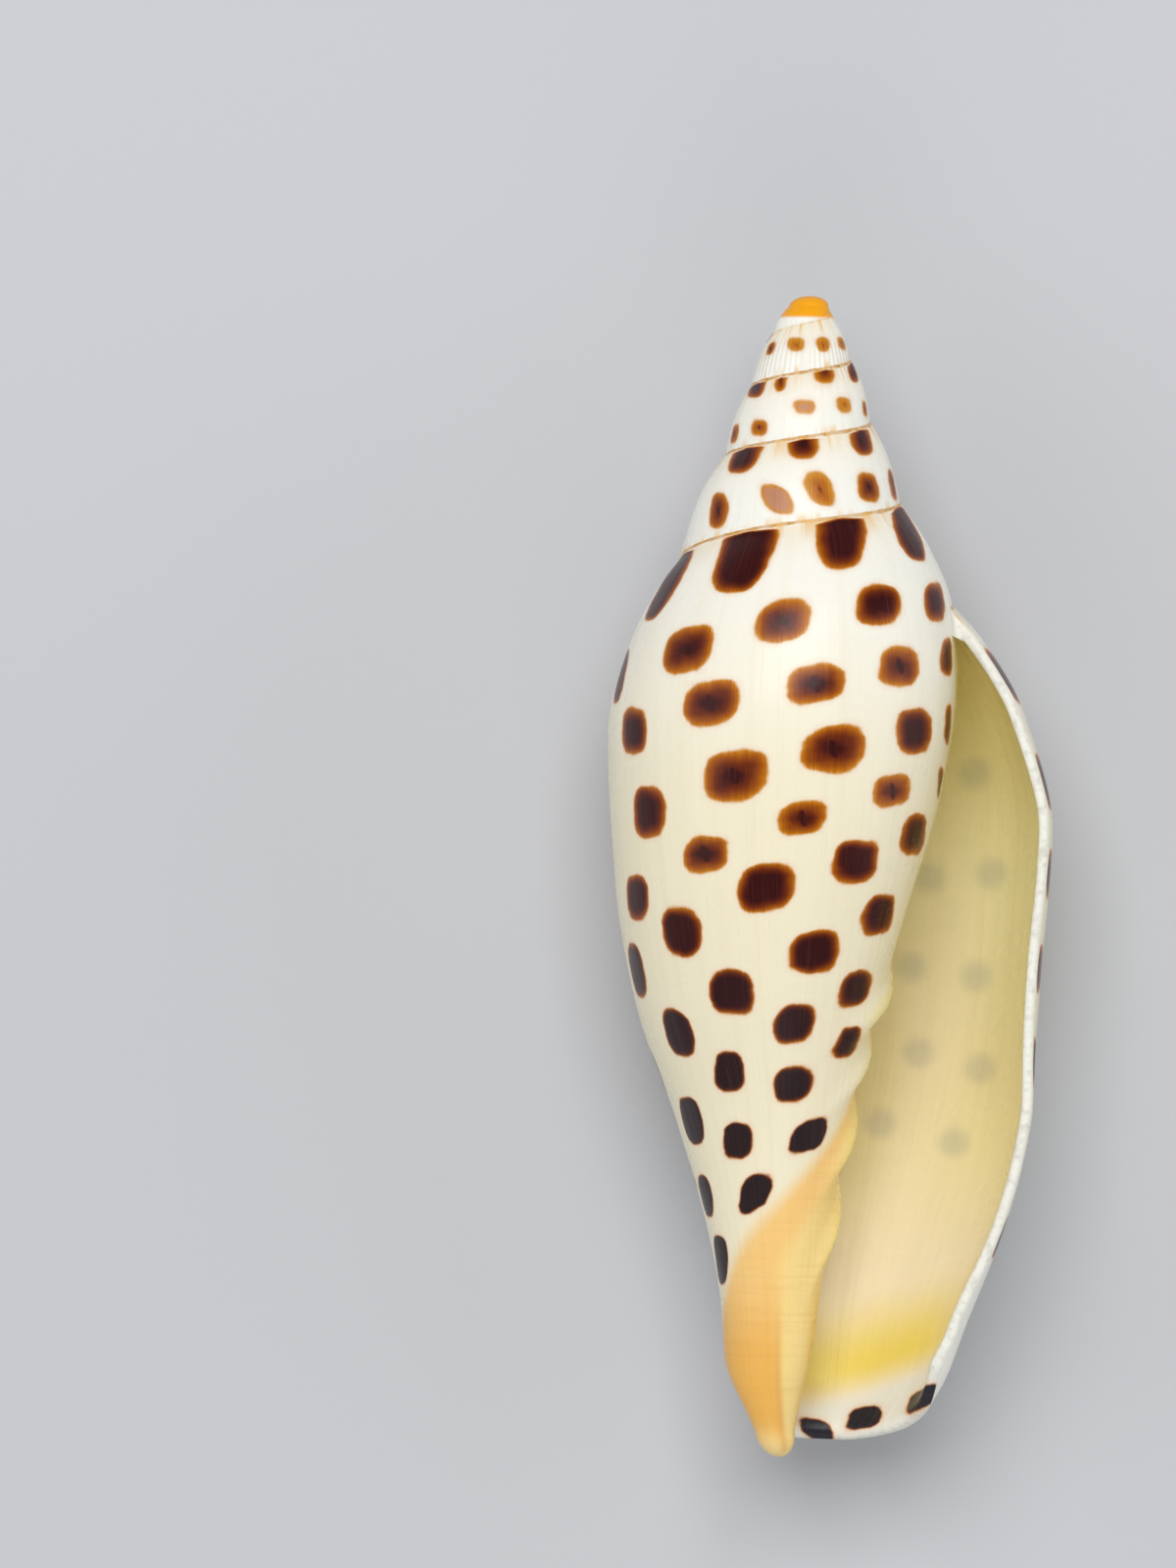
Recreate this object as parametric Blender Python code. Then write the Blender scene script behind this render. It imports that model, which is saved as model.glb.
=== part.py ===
"""A spotted volute sea shell, 100 mm long, lying on its back with its aperture up.

The shell is one piece: a wall that winds round an axis, each turn wider than the last.
Places on it are given by turn, depth and radius. The turn counts the growth: at whole
turns the wall faces +X, where the outer lip is, and a quarter turn later it faces +Z, out
of the aperture. Depth runs down the axis from the apex, and radius is measured from it.
Lengths are in millimetres, and the last step turns them into metres.
"""

import math

import bmesh
import bpy
import numpy as np
from mathutils import Vector

MM = 0.001

# Size and growth of the shell
SHELL_LENGTH = 100.0
LIP_TURN = 1.5 / 36
WHORLS = 185 / 36
NOTCH_TURN = LIP_TURN - 16 / 36
NOTCH_SPAN = 0.09
LUMEN_TURNS = 27 / 36
FIRST_TURN = LIP_TURN - WHORLS

# Suture, the spiral line where each turn meets the one before
SUTURE_GROWTH = 1.284
SUTURE_REACH = 39.66
SUTURE_OFFSET = 13.33
SUTURE_SAG = 1.5
SUTURE_SAG_SPAN = (-0.72, 0.02)
SPIRE_OUTLINE = ((0.9, 1.68), (2.2, 2.35), (5.4, 3.8), (10.7, 5.6), (17.5, 8.2), (26.3, 12.7))
SPIRE_LEAN = ((0.0, 0.0), (2.5, 0.28), (15.0, 0.28), (21.0, 0.0))
WHORL_BULGE = 0.07
BULGE_SKEW = 0.85

# Sections of the last turn as (depth, radius), a turn before the lip, half a turn before and at it,
# and the turns over which the spire's own outline gives way to them
SECTION_TURNS = (-1.0, -0.5, 0.0)
SECTIONS = (
    ((17.5, 8.0), (21.4, 10.6), (26.3, 12.7), (33, 13.3), (42, 12.1), (53, 9.0), (64, 5.9),
     (76.6, 3.6), (88.2, 2.2), (97.8, 0.6)),
    ((22.9, 10.9), (25.3, 12.6), (30.4, 15.0), (37.5, 16.6), (50.6, 15.7), (60.8, 13.7),
     (70.9, 9.9), (81, 6.8), (86.5, 5.7), (92.5, 5.1), (97.8, 2.9)),
    ((26.3, 12.7), (29.1, 15.3), (35.4, 19.0), (45.6, 21.6), (58, 20.9), (70.9, 20.0),
     (76, 19.0), (81, 17.6), (88.6, 15.0), (93, 13.5), (95.6, 12.1)),
)
SPIRE_TO_SECTIONS = (-1.15, -0.97)
SPIRE_TO_BASE = (-1.0, -0.9)

# Lower end of the wall, the columella and its tip
END_DEPTH = ((-1.75, 90), (-1.4, 97.2), (-1.0, 97.8), (-0.5, 97.8), (-0.25, 98.0), (-0.14, 98.1),
             (-0.06, 97.4), (0.0, 95.6), (LIP_TURN, 91.6))
TIP_RING_RADIUS = 1.7
TIP_RING_X = -1.1
TIP_X = -0.7
LEAST_RADIUS = 0.55
RIM_PULL = (0.9, 1.0)
RIM_EASE = 0.7
FOLD_GROWTH = 1.6
FOLD_DEPTHS = (59.3, 64.6, 71.2, 78.6)
FOLD_HEIGHTS = (1.1, 0.8, 1.0, 0.9)
FOLD_WIDTHS = (1.9, 1.6, 2.0, 2.1)
FOLD_UNDERSIDE = 0.6
FOLD_FADE = (-0.96, -0.8)

# Wall
LIP_WALL = 1.0
WALL = 1.5
WALL_FADE = 0.14
STEEPEST_WALL = 1.5
LUMEN_CLEARANCE = 0.5
CLEARANCE_SPAN = (0.0, 0.08)
SHUT_SPAN = (0.93, 1.0)
SHUT_THINNING = 0.6

# Flat spot on the back, and the middle of the shell's box
BACK_RADIUS = 18.88
FLAT_DEPTH = 0.8
BOX_MIDDLE = (2.5, -SHELL_LENGTH / 2)

# Fineness of the mesh
STATIONS = 36
CAP_ROWS = 3
RIBBON_ROWS = 6
ROOT_DEPTH = 2.3
ROW_SPANS = ((0.36, 9), (0.78, 17), (1.0, 8))
TIP_ROWS = 3

# Finish
SHELL_COLOUR = (0.83, 0.74, 0.58, 1.0)
SHELL_ROUGHNESS = 0.28


def through(points, at):
    """A smooth curve through hand-chosen points that never overshoots them, read at the given places."""
    xs, ys = np.array(points, float).T
    step = np.diff(xs)
    rise = np.diff(ys) / step
    slope = np.empty(len(xs))
    slope[0], slope[-1] = rise[0], rise[-1]
    product = rise[:-1] * rise[1:]
    total = np.where(product > 0, rise[:-1] + rise[1:], 1.0)
    slope[1:-1] = np.where(product > 0, 2 * product / total, 0.0)
    at = np.clip(at, xs[0], xs[-1])
    cell = np.clip(np.searchsorted(xs, at, side="right") - 1, 0, len(step) - 1)
    width = step[cell]
    f = (at - xs[cell]) / width
    start = ys[cell] * (1 + 2 * f) + slope[cell] * width * f
    end = ys[cell + 1] * (3 - 2 * f) - slope[cell + 1] * width * (1 - f)
    return start * (1 - f) ** 2 + end * f**2


def smooth(value, low, high):
    """0 at low, 1 at high, with an easy start and end."""
    f = np.clip((value - low) / (high - low), 0, 1)
    return f * f * (3 - 2 * f)


def suture_depth(turn):
    low, high = SUTURE_SAG_SPAN
    sag = SUTURE_SAG * np.sin(math.pi * np.clip((turn - low) / (high - low), 0, 1)) ** 2
    return SUTURE_REACH * SUTURE_GROWTH**turn - SUTURE_OFFSET + sag


def whorl_top(turn):
    """Depth of the upper edge of the whorl at a turn: the cap's rim in the first turn, then the suture."""
    return suture_depth(np.maximum(turn, FIRST_TURN + 1))


def whorl_foot(turn):
    """Depth at which the next turn is attached, or would be."""
    return suture_depth(turn + 1)


def section_weights(turn):
    """How much each of the three sections counts at a turn, as a parabola through them."""
    a, b, c = SECTION_TURNS
    return (
        (turn - b) * (turn - c) / ((a - b) * (a - c)),
        (turn - a) * (turn - c) / ((b - a) * (b - c)),
        (turn - a) * (turn - b) / ((c - a) * (c - b)),
    )


def loft(turn, fraction, top, foot):
    """Radius at a fraction of the way from top to foot, between the sections of the last turn."""
    log_radius = 0.0
    for key, section, weight in zip(SECTION_TURNS, SECTIONS, section_weights(turn)):
        depth = top(key) + fraction * (foot(key) - top(key))
        log_radius = log_radius + weight * np.log(through(section, depth))
    return np.exp(log_radius)


def end_depth(turn):
    return through(END_DEPTH, turn)


def ribbon(turn, fraction):
    """Depth and radius of the whorl between its suture and the next."""
    top, foot = whorl_top(turn), whorl_foot(turn)
    depth = top + fraction * (foot - top)
    top_radius, foot_radius = through(SPIRE_OUTLINE, top), through(SPIRE_OUTLINE, foot)
    arch = np.sin(math.pi * fraction**BULGE_SKEW)
    spire = top_radius + fraction * (foot_radius - top_radius) + WHORL_BULGE * (foot - top) * arch
    body = loft(turn, fraction, whorl_top, whorl_foot)
    body += (top_radius - loft(turn, 0.0, whorl_top, whorl_foot)) * (1 - fraction) ** 2
    share = smooth(turn, *SPIRE_TO_SECTIONS)
    return depth, spire + share * (body - spire)


def folds(turn, depth):
    """Height of the columella's folds, which wind round it as the shell grows."""
    young = depth / FOLD_GROWTH ** (turn + 1)
    height = 0.0
    for place, rise, width in zip(FOLD_DEPTHS, FOLD_HEIGHTS, FOLD_WIDTHS):
        off = (young - place) / width
        height = height + rise * np.exp(-np.where(off < 0, off, off / FOLD_UNDERSIDE) ** 2)
    return height * (1 - smooth(turn, *FOLD_FADE))


def ring_radius(turn):
    """Radius of the rim of the tip, a circle set to one side of the axis."""
    angle = 2 * math.pi * turn
    along, across = TIP_RING_X * np.cos(angle), TIP_RING_X * np.sin(angle)
    return along + np.sqrt(TIP_RING_RADIUS**2 - across**2)


def lower(turn, fraction):
    """Depth and radius of the wall from the line where the next turn is attached to its lower end."""
    top, foot = whorl_foot(turn), end_depth(turn)
    depth = top + fraction * (foot - top)
    radius = loft(turn, fraction, whorl_foot, end_depth)
    edge = loft(turn, 1.0, whorl_foot, end_depth)
    attached = through(SPIRE_OUTLINE, top) - loft(turn, 0.0, whorl_foot, end_depth)
    radius += attached * (1 - smooth(turn, *SPIRE_TO_BASE)) * (1 - fraction) ** 6
    radius = np.maximum(radius + folds(turn, depth), LEAST_RADIUS)
    ring = ring_radius(turn)
    rim = ring + (edge - ring) * np.clip((turn - NOTCH_TURN) / NOTCH_SPAN, 0, 1) ** RIM_EASE
    pull = smooth(fraction, *RIM_PULL)
    return depth, radius * (rim / np.maximum(edge, LEAST_RADIUS)) ** pull


def outside_radius(turn, depth):
    """Radius of the outside of the last turn at a depth."""
    top, foot, end = whorl_top(turn), whorl_foot(turn), end_depth(turn)
    upper = ribbon(turn, np.clip((depth - top) / (foot - top), 0, 1))[1]
    below = lower(turn, np.clip((depth - foot) / (end - foot), 0, 1))[1]
    return np.where(depth < foot, upper, below)


def inside(turn, spacing, root, bottom):
    """Depth and radius of the inside of the last wall, from its root on the turn before down to bottom."""
    depth = root + (bottom - root) * spacing
    opened = np.clip((turn - NOTCH_TURN) / NOTCH_SPAN, 0, 1)
    shut = (1 - opened) * smooth(spacing, *SHUT_SPAN)
    nudge = 0.01 * LIP_WALL
    slope = (outside_radius(turn, depth + nudge) - outside_radius(turn, depth - nudge)) / (2 * nudge)
    wall = LIP_WALL + (WALL - LIP_WALL) * smooth(LIP_TURN - turn, 0, WALL_FADE)
    slope = np.clip(slope, -STEEPEST_WALL, STEEPEST_WALL)
    across = wall * np.sqrt(1 + slope**2) * (1 - SHUT_THINNING * shut)
    radius = outside_radius(turn, depth) - across
    end = end_depth(turn - 1)
    foot = whorl_foot(turn - 1)
    columella = lower(turn - 1, np.clip((depth - foot) / (end - foot), 0, 1))[1]
    ends = np.minimum(smooth(spacing, *CLEARANCE_SPAN), 1 - shut)
    return depth, np.maximum(radius, columella + LUMEN_CLEARANCE * ends)


def place(turn, depth, radius):
    """A point of the shell in its own axes: x to the lip, y to the apex, z out of the aperture."""
    angle = 2 * math.pi * turn
    lean = through(SPIRE_LEAN, depth)
    return (radius * np.cos(angle) - lean, -depth, radius * np.sin(angle))


class Skin:
    """The points and faces of the closed surface, as they are added."""

    def __init__(self):
        self.points = []
        self.faces = []

    def add(self, turn, depth, radius):
        self.points.append(place(turn, float(depth), float(radius)))
        return len(self.points) - 1

    def face(self, *corners):
        """A face of its corners in order, without those that repeat."""
        kept = [c for c, before in zip(corners, corners[-1:] + corners[:-1]) if c != before]
        if len(set(kept)) > 2:
            self.faces.append(tuple(kept))

    def zip(self, left, right):
        """Triangles across a flat gap between two chains that both run down and share their ends."""
        a, b = 0, 0
        while a < len(left) - 1 or b < len(right) - 1:
            down_left = a < len(left) - 1 and (
                b == len(right) - 1 or self.points[left[a + 1]][1] > self.points[right[b + 1]][1]
            )
            corner = left[a + 1] if down_left else right[b + 1]
            self.face(left[a], corner, right[b])
            a, b = a + down_left, b + (not down_left)

    def band(self, left, right):
        """Faces between two chains of points of the same length."""
        for k in range(len(left) - 1):
            self.face(left[k], right[k], right[k + 1], left[k + 1])


def row_fractions(spans):
    """Fractions of the lower wall at which its rows run, with rows of even depth in each span."""
    rows = []
    low = 0.0
    for high, count in spans:
        rows += [low + (high - low) * (k + 1) / count for k in range(count)]
        low = high
    return rows


def add_cap(skin):
    """The round cap at the apex, down to its rim."""
    depth, radius = float(whorl_top(FIRST_TURN)), float(through(SPIRE_OUTLINE, whorl_top(FIRST_TURN)))
    pole = skin.add(FIRST_TURN, 0, 0)
    above = [pole] * STATIONS
    for row in range(1, CAP_ROWS + 1):
        tilt = math.pi / 2 * row / CAP_ROWS
        ring = [
            skin.add(FIRST_TURN + k / STATIONS, depth * (1 - math.cos(tilt)), radius * math.sin(tilt))
            for k in range(STATIONS)
        ]
        skin.band(above + above[:1], ring + ring[:1])
        above = ring
    return above


def add_spire(skin, rim, turns):
    """The ribbon of the outside from suture to suture, from the cap to the lip, station by station."""
    chains = []
    for i, turn in enumerate(turns):
        first = rim[i] if i < STATIONS else chains[i - STATIONS][-1]
        if i == 0:
            chains.append([first] * (RIBBON_ROWS + 1))
            continue
        rest = [skin.add(turn, *ribbon(turn, (j + 1) / RIBBON_ROWS)) for j in range(RIBBON_ROWS)]
        chains.append([first] + rest)
    for before, after in zip(chains, chains[1:]):
        skin.band(after, before)
    return chains


def add_lower(skin, spire, turns, deepest, notch):
    """The wall below the next turn's attachment: outside in the last turn, columella before it."""
    fractions = row_fractions(ROW_SPANS)
    chains = {}
    for i in range(deepest, len(turns)):
        turn = turns[i]
        span = float(end_depth(turn) - whorl_foot(turn))
        root = ROOT_DEPTH / span
        rows = [root if k == 0 else f for k, f in enumerate(fractions)]
        chain = [spire[i][-1]] + [skin.add(turn, *lower(turn, f)) for f in rows[:-1]]
        end = chains[notch - STATIONS][-1] if i == notch else skin.add(turn, *lower(turn, 1.0))
        chains[i] = chain + [end]
    last = len(turns) - 1
    for i in range(deepest, last):
        start = 0 if i >= last - STATIONS else 1
        skin.band(chains[i + 1][start:], chains[i][start:])
    return chains


def add_tip(skin, ring):
    """The rounded end of the columella, below the closed ring of its stations."""
    above = ring
    points = [skin.points[index] for index in ring]
    for row in range(1, TIP_ROWS):
        tilt = math.pi / 2 * row / TIP_ROWS
        centre = TIP_RING_X + (TIP_X - TIP_RING_X) * math.sin(tilt)
        below = []
        for x, y, z in points:
            skin.points.append((
                centre + (x - TIP_RING_X) * math.cos(tilt),
                y - (SHELL_LENGTH + y) * math.sin(tilt),
                z * math.cos(tilt),
            ))
            below.append(len(skin.points) - 1)
        skin.band(below + below[:1], above + above[:1])
        above = below
    skin.points.append((TIP_X, -SHELL_LENGTH, 0.0))
    pole = [len(skin.points) - 1] * (len(ring) + 1)
    skin.band(pole, above + above[:1])


def add_inside(skin, spire, low, turns, lumen, notch):
    """The inside of the last wall, its lip and lower edge, and the end of the hollow deep within."""
    last = len(turns) - 1
    chains = {}
    for i in range(lumen, last + 1):
        turn = turns[i]
        outer = [skin.points[k] for k in spire[i] + low[i][1:]]
        span = outer[-1][1] - outer[0][1]
        spacing = [(point[1] - outer[0][1]) / span for point in outer]
        before = low[i - STATIONS]
        closed = i <= notch
        root = -skin.points[before[1]][1]
        bottom = -skin.points[before[-1]][1] if closed else float(end_depth(turn))
        middle = [skin.add(turn, *inside(turn, f, root, bottom)) for f in spacing[1:-1]]
        end = before[-1] if closed else skin.add(turn, *inside(turn, 1.0, root, bottom))
        chains[i] = [before[1]] + middle + [end]
    for i in range(lumen, last):
        skin.band(chains[i], chains[i + 1])
    skin.band(chains[last], spire[last] + low[last][1:])
    for i in range(notch, last):
        skin.face(low[i][-1], low[i + 1][-1], chains[i + 1][-1], chains[i][-1])
    skin.zip(low[lumen - STATIONS][1:], chains[lumen])


def shell_mesh():
    """The whole shell as one closed mesh, at rest on its flat spot."""
    skin = Skin()
    count = round(WHORLS * STATIONS)
    turns = [FIRST_TURN + i / STATIONS for i in range(count + 1)]
    notch = count - round((LIP_TURN - NOTCH_TURN) * STATIONS)
    lumen = count - round(LUMEN_TURNS * STATIONS)
    rim = add_cap(skin)
    spire = add_spire(skin, rim, turns)
    low = add_lower(skin, spire, turns, lumen - STATIONS, notch)
    add_tip(skin, [low[i][-1] for i in range(notch - STATIONS, notch)])
    add_inside(skin, spire, low, turns, lumen, notch)

    origin = Vector((*BOX_MIDDLE, FLAT_DEPTH - BACK_RADIUS))
    mesh = bmesh.new()
    for point in skin.points:
        rested = Vector(point) - origin
        rested.z = max(rested.z, 0.0)
        mesh.verts.new(rested * MM)
    mesh.verts.ensure_lookup_table()
    for corners in skin.faces:
        mesh.faces.new([mesh.verts[index] for index in corners])
    bmesh.ops.recalc_face_normals(mesh, faces=mesh.faces)
    bmesh.ops.triangulate(mesh, faces=mesh.faces)
    data = bpy.data.meshes.new("shell")
    mesh.to_mesh(data)
    mesh.free()
    return data


def shell_material():
    material = bpy.data.materials.new("glazed_shell")
    material.use_nodes = True
    shader = material.node_tree.nodes["Principled BSDF"]
    shader.inputs["Base Color"].default_value = SHELL_COLOUR
    shader.inputs["Roughness"].default_value = SHELL_ROUGHNESS
    shader.inputs["Metallic"].default_value = 0.0
    return material


def main():
    for obj in list(bpy.data.objects):
        bpy.data.objects.remove(obj)
    collection = bpy.data.collections.new("volute_shell")
    bpy.context.scene.collection.children.link(collection)
    data = shell_mesh()
    data.materials.append(shell_material())
    data.shade_smooth()
    collection.objects.link(bpy.data.objects.new("shell", data))


if __name__ == "__main__":
    main()
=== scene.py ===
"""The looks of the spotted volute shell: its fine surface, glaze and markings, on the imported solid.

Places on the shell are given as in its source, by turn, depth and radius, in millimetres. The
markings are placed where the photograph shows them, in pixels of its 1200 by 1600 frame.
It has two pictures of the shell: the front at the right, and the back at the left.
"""

import math
from functools import reduce

import bmesh
import bpy
import numpy as np
from mathutils import Matrix, Vector


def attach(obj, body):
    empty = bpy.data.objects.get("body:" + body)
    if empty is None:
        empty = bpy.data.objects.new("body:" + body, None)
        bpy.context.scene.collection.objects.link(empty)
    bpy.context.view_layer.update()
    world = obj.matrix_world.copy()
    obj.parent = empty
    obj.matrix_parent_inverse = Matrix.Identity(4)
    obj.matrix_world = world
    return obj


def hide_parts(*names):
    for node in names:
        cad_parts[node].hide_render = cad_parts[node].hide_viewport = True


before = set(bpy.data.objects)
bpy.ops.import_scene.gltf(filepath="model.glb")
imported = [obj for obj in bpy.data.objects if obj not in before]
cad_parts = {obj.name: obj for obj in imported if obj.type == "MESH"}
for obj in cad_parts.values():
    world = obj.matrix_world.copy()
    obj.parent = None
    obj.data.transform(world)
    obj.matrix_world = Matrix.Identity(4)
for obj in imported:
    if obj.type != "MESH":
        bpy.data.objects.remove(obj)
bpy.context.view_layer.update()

MM = 0.001
TURN = 2 * math.pi

# Size and growth of the shell, as in its source: lengths in millimetres, and turns counted from the lip's
# side. Pairs in an outline are a depth, or a turn, and what the curve gives there
SHELL_LENGTH = 100.0
LIP_TURN = 1.5 / 36
WHORLS = 185 / 36
NOTCH_TURN = LIP_TURN - 16 / 36
NOTCH_SPAN = 0.09
LUMEN_TURNS = 27 / 36
FIRST_TURN = LIP_TURN - WHORLS
SUTURE_GROWTH = 1.284
SUTURE_REACH = 39.66
SUTURE_OFFSET = 13.33
SUTURE_SAG = 1.5
SUTURE_SAG_SPAN = (-0.72, 0.02)
SPIRE_OUTLINE = ((0.9, 1.68), (2.2, 2.35), (5.4, 3.8), (10.7, 5.6), (17.5, 8.2), (26.3, 12.7))
SPIRE_LEAN = ((0.0, 0.0), (2.5, 0.28), (15.0, 0.28), (21.0, 0.0))
WHORL_BULGE = 0.07
BULGE_SKEW = 0.85
SECTION_TURNS = (-1.0, -0.5, 0.0)
SECTIONS = (
    ((17.5, 8.0), (21.4, 10.6), (26.3, 12.7), (33, 13.3), (42, 12.1), (53, 9.0), (64, 5.9),
     (76.6, 3.6), (88.2, 2.2), (97.8, 0.6)),
    ((22.9, 10.9), (25.3, 12.6), (30.4, 15.0), (37.5, 16.6), (50.6, 15.7), (60.8, 13.7),
     (70.9, 9.9), (81, 6.8), (86.5, 5.7), (92.5, 5.1), (97.8, 2.9)),
    ((26.3, 12.7), (29.1, 15.3), (35.4, 19.0), (45.6, 21.6), (58, 20.9), (70.9, 20.0),
     (76, 19.0), (81, 17.6), (88.6, 15.0), (93, 13.5), (95.6, 12.1)),
)
SPIRE_TO_SECTIONS = (-1.15, -0.97)
SPIRE_TO_BASE = (-1.0, -0.9)
ATTACHED_EASE = 6
END_DEPTH = ((-1.75, 90), (-1.4, 97.2), (-1.0, 97.8), (-0.5, 97.8), (-0.25, 98.0), (-0.14, 98.1),
             (-0.06, 97.4), (0.0, 95.6), (LIP_TURN, 91.6))
TIP_RING_RADIUS = 1.7
TIP_RING_X = -1.1
TIP_X = -0.7
LEAST_RADIUS = 0.55
RIM_PULL = (0.9, 1.0)
RIM_EASE = 0.7
FOLD_GROWTH = 1.6
FOLD_DEPTHS = (59.3, 64.6, 71.2, 78.6)
FOLD_HEIGHTS = (1.1, 0.8, 1.0, 0.9)
FOLD_WIDTHS = (1.9, 1.6, 2.0, 2.1)
FOLD_UNDERSIDE = 0.6
FOLD_FADE = (-0.96, -0.8)
LIP_WALL = 1.0
WALL = 1.5
WALL_FADE = 0.14
STEEPEST_WALL = 1.5
NUDGE = 0.01
LUMEN_CLEARANCE = 0.5
CLEARANCE_SPAN = (0.0, 0.08)
SHUT_SPAN = (0.93, 1.0)
SHUT_THINNING = 0.6
BACK_RADIUS = 18.88
FLAT_DEPTH = 0.8
BOX_MIDDLE = (2.5, -SHELL_LENGTH / 2)

# Fineness of the surface, and the rounding of its edges
STATIONS = 216
CAP_ROWS = 10
RIBBON_ROWS = 20
ROOT_DEPTH = 2.3
ROOT_ROWS = 4
ROW_SPANS = ((0.34, 28), (0.77, 56), (1.0, 28))
TIP_ROWS = 8
EDGE_ROWS = 4
LIP_ROUNDING = 0.45
RIM_ROUNDING = 0.4
RIM_EASE_STATIONS = 12
LIP_EASE_ROWS = 4
FLAT_EASE = 0.15

# Pictures in the photograph: the apex in pixels, pixels to a millimetre, and the lean of the axis. In
# the back picture the shell is also turned a little on its axis, its lip away from the viewer
FRONT_APEX = (827.0, 302.0)
FRONT_SCALE = 11.85
FRONT_LEAN = math.radians(-1.17)
BACK_APEX = (383.8, 104.0)
BACK_SCALE = 11.9
BACK_LEAN = math.radians(1.0)
BACK_SPIN = 5 / 360
CAMERA_HEIGHT = 1000.0
AXIS_PLACE = (-BOX_MIDDLE[0], -BOX_MIDDLE[1], BACK_RADIUS - FLAT_DEPTH)

# Tones of the markings
NAVY = 0.0
DARK = 0.25
BROWN = 0.45
AMBER = 0.7
# Pale marks are partly faded and partly lightened by a painted highlight of the glaze
PALE = 1.0


def through(points, at):
    """A smooth curve through listed points that never overshoots them, read at the given places."""
    xs, ys = np.array(points, float).T
    step = np.diff(xs)
    rise = np.diff(ys) / step
    slope = np.empty(len(xs))
    slope[0], slope[-1] = rise[0], rise[-1]
    product = rise[:-1] * rise[1:]
    total = np.where(product > 0, rise[:-1] + rise[1:], 1.0)
    slope[1:-1] = np.where(product > 0, 2 * product / total, 0.0)
    at = np.clip(at, xs[0], xs[-1])
    cell = np.clip(np.searchsorted(xs, at, side="right") - 1, 0, len(step) - 1)
    width = step[cell]
    f = (at - xs[cell]) / width
    start = ys[cell] * (1 + 2 * f) + slope[cell] * width * f
    end = ys[cell + 1] * (3 - 2 * f) - slope[cell + 1] * width * (1 - f)
    return start * (1 - f) ** 2 + end * f**2


def smooth(value, low, high):
    """0 at low, 1 at high, with an easy start and end."""
    f = np.clip((value - low) / (high - low), 0, 1)
    return f * f * (3 - 2 * f)


def suture_depth(turn):
    low, high = SUTURE_SAG_SPAN
    sag = SUTURE_SAG * np.sin(math.pi * np.clip((turn - low) / (high - low), 0, 1)) ** 2
    return SUTURE_REACH * SUTURE_GROWTH**turn - SUTURE_OFFSET + sag


def whorl_top(turn):
    """Depth of the upper edge of the whorl at a turn: the cap's rim in the first turn, then the suture."""
    return suture_depth(np.maximum(turn, FIRST_TURN + 1))


def whorl_foot(turn):
    """Depth at which the next turn is attached, or would be."""
    return suture_depth(turn + 1)


def section_weights(turn):
    """How much each of the three sections counts at a turn, as a parabola through them."""
    a, b, c = SECTION_TURNS
    return (
        (turn - b) * (turn - c) / ((a - b) * (a - c)),
        (turn - a) * (turn - c) / ((b - a) * (b - c)),
        (turn - a) * (turn - b) / ((c - a) * (c - b)),
    )


def loft(turn, fraction, top, foot):
    """Radius at a fraction of the way from top to foot, between the sections of the last turn."""
    log_radius = 0.0
    for key, section, weight in zip(SECTION_TURNS, SECTIONS, section_weights(turn)):
        depth = top(key) + fraction * (foot(key) - top(key))
        log_radius = log_radius + weight * np.log(through(section, depth))
    return np.exp(log_radius)


def end_depth(turn):
    return through(END_DEPTH, turn)


def ribbon(turn, fraction):
    """Depth and radius of the whorl between its suture and the next."""
    top, foot = whorl_top(turn), whorl_foot(turn)
    depth = top + fraction * (foot - top)
    top_radius, foot_radius = through(SPIRE_OUTLINE, top), through(SPIRE_OUTLINE, foot)
    arch = np.sin(math.pi * fraction**BULGE_SKEW)
    spire = top_radius + fraction * (foot_radius - top_radius) + WHORL_BULGE * (foot - top) * arch
    body = loft(turn, fraction, whorl_top, whorl_foot)
    body += (top_radius - loft(turn, 0.0, whorl_top, whorl_foot)) * (1 - fraction) ** 2
    share = smooth(turn, *SPIRE_TO_SECTIONS)
    return depth, spire + share * (body - spire)


def folds(turn, depth):
    """Height of the columella's folds, which wind round it as the shell grows."""
    young = depth / FOLD_GROWTH ** (turn + 1)
    height = 0.0
    for place_down, rise, width in zip(FOLD_DEPTHS, FOLD_HEIGHTS, FOLD_WIDTHS):
        off = (young - place_down) / width
        height = height + rise * np.exp(-np.where(off < 0, off, off / FOLD_UNDERSIDE) ** 2)
    return height * (1 - smooth(turn, *FOLD_FADE))


def ring_radius(turn):
    """Radius of the rim of the tip, a circle set to one side of the axis."""
    angle = TURN * turn
    along, across = TIP_RING_X * np.cos(angle), TIP_RING_X * np.sin(angle)
    return along + np.sqrt(TIP_RING_RADIUS**2 - across**2)


def lower(turn, fraction):
    """Depth and radius of the wall from the line where the next turn is attached to its lower end."""
    top, foot = whorl_foot(turn), end_depth(turn)
    depth = top + fraction * (foot - top)
    radius = loft(turn, fraction, whorl_foot, end_depth)
    edge = loft(turn, 1.0, whorl_foot, end_depth)
    attached = through(SPIRE_OUTLINE, top) - loft(turn, 0.0, whorl_foot, end_depth)
    radius = radius + attached * (1 - smooth(turn, *SPIRE_TO_BASE)) * (1 - fraction) ** ATTACHED_EASE
    radius = np.maximum(radius + folds(turn, depth), LEAST_RADIUS)
    ring = ring_radius(turn)
    rim = ring + (edge - ring) * np.clip((turn - NOTCH_TURN) / NOTCH_SPAN, 0, 1) ** RIM_EASE
    pull = smooth(fraction, *RIM_PULL)
    return depth, radius * (rim / np.maximum(edge, LEAST_RADIUS)) ** pull


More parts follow.
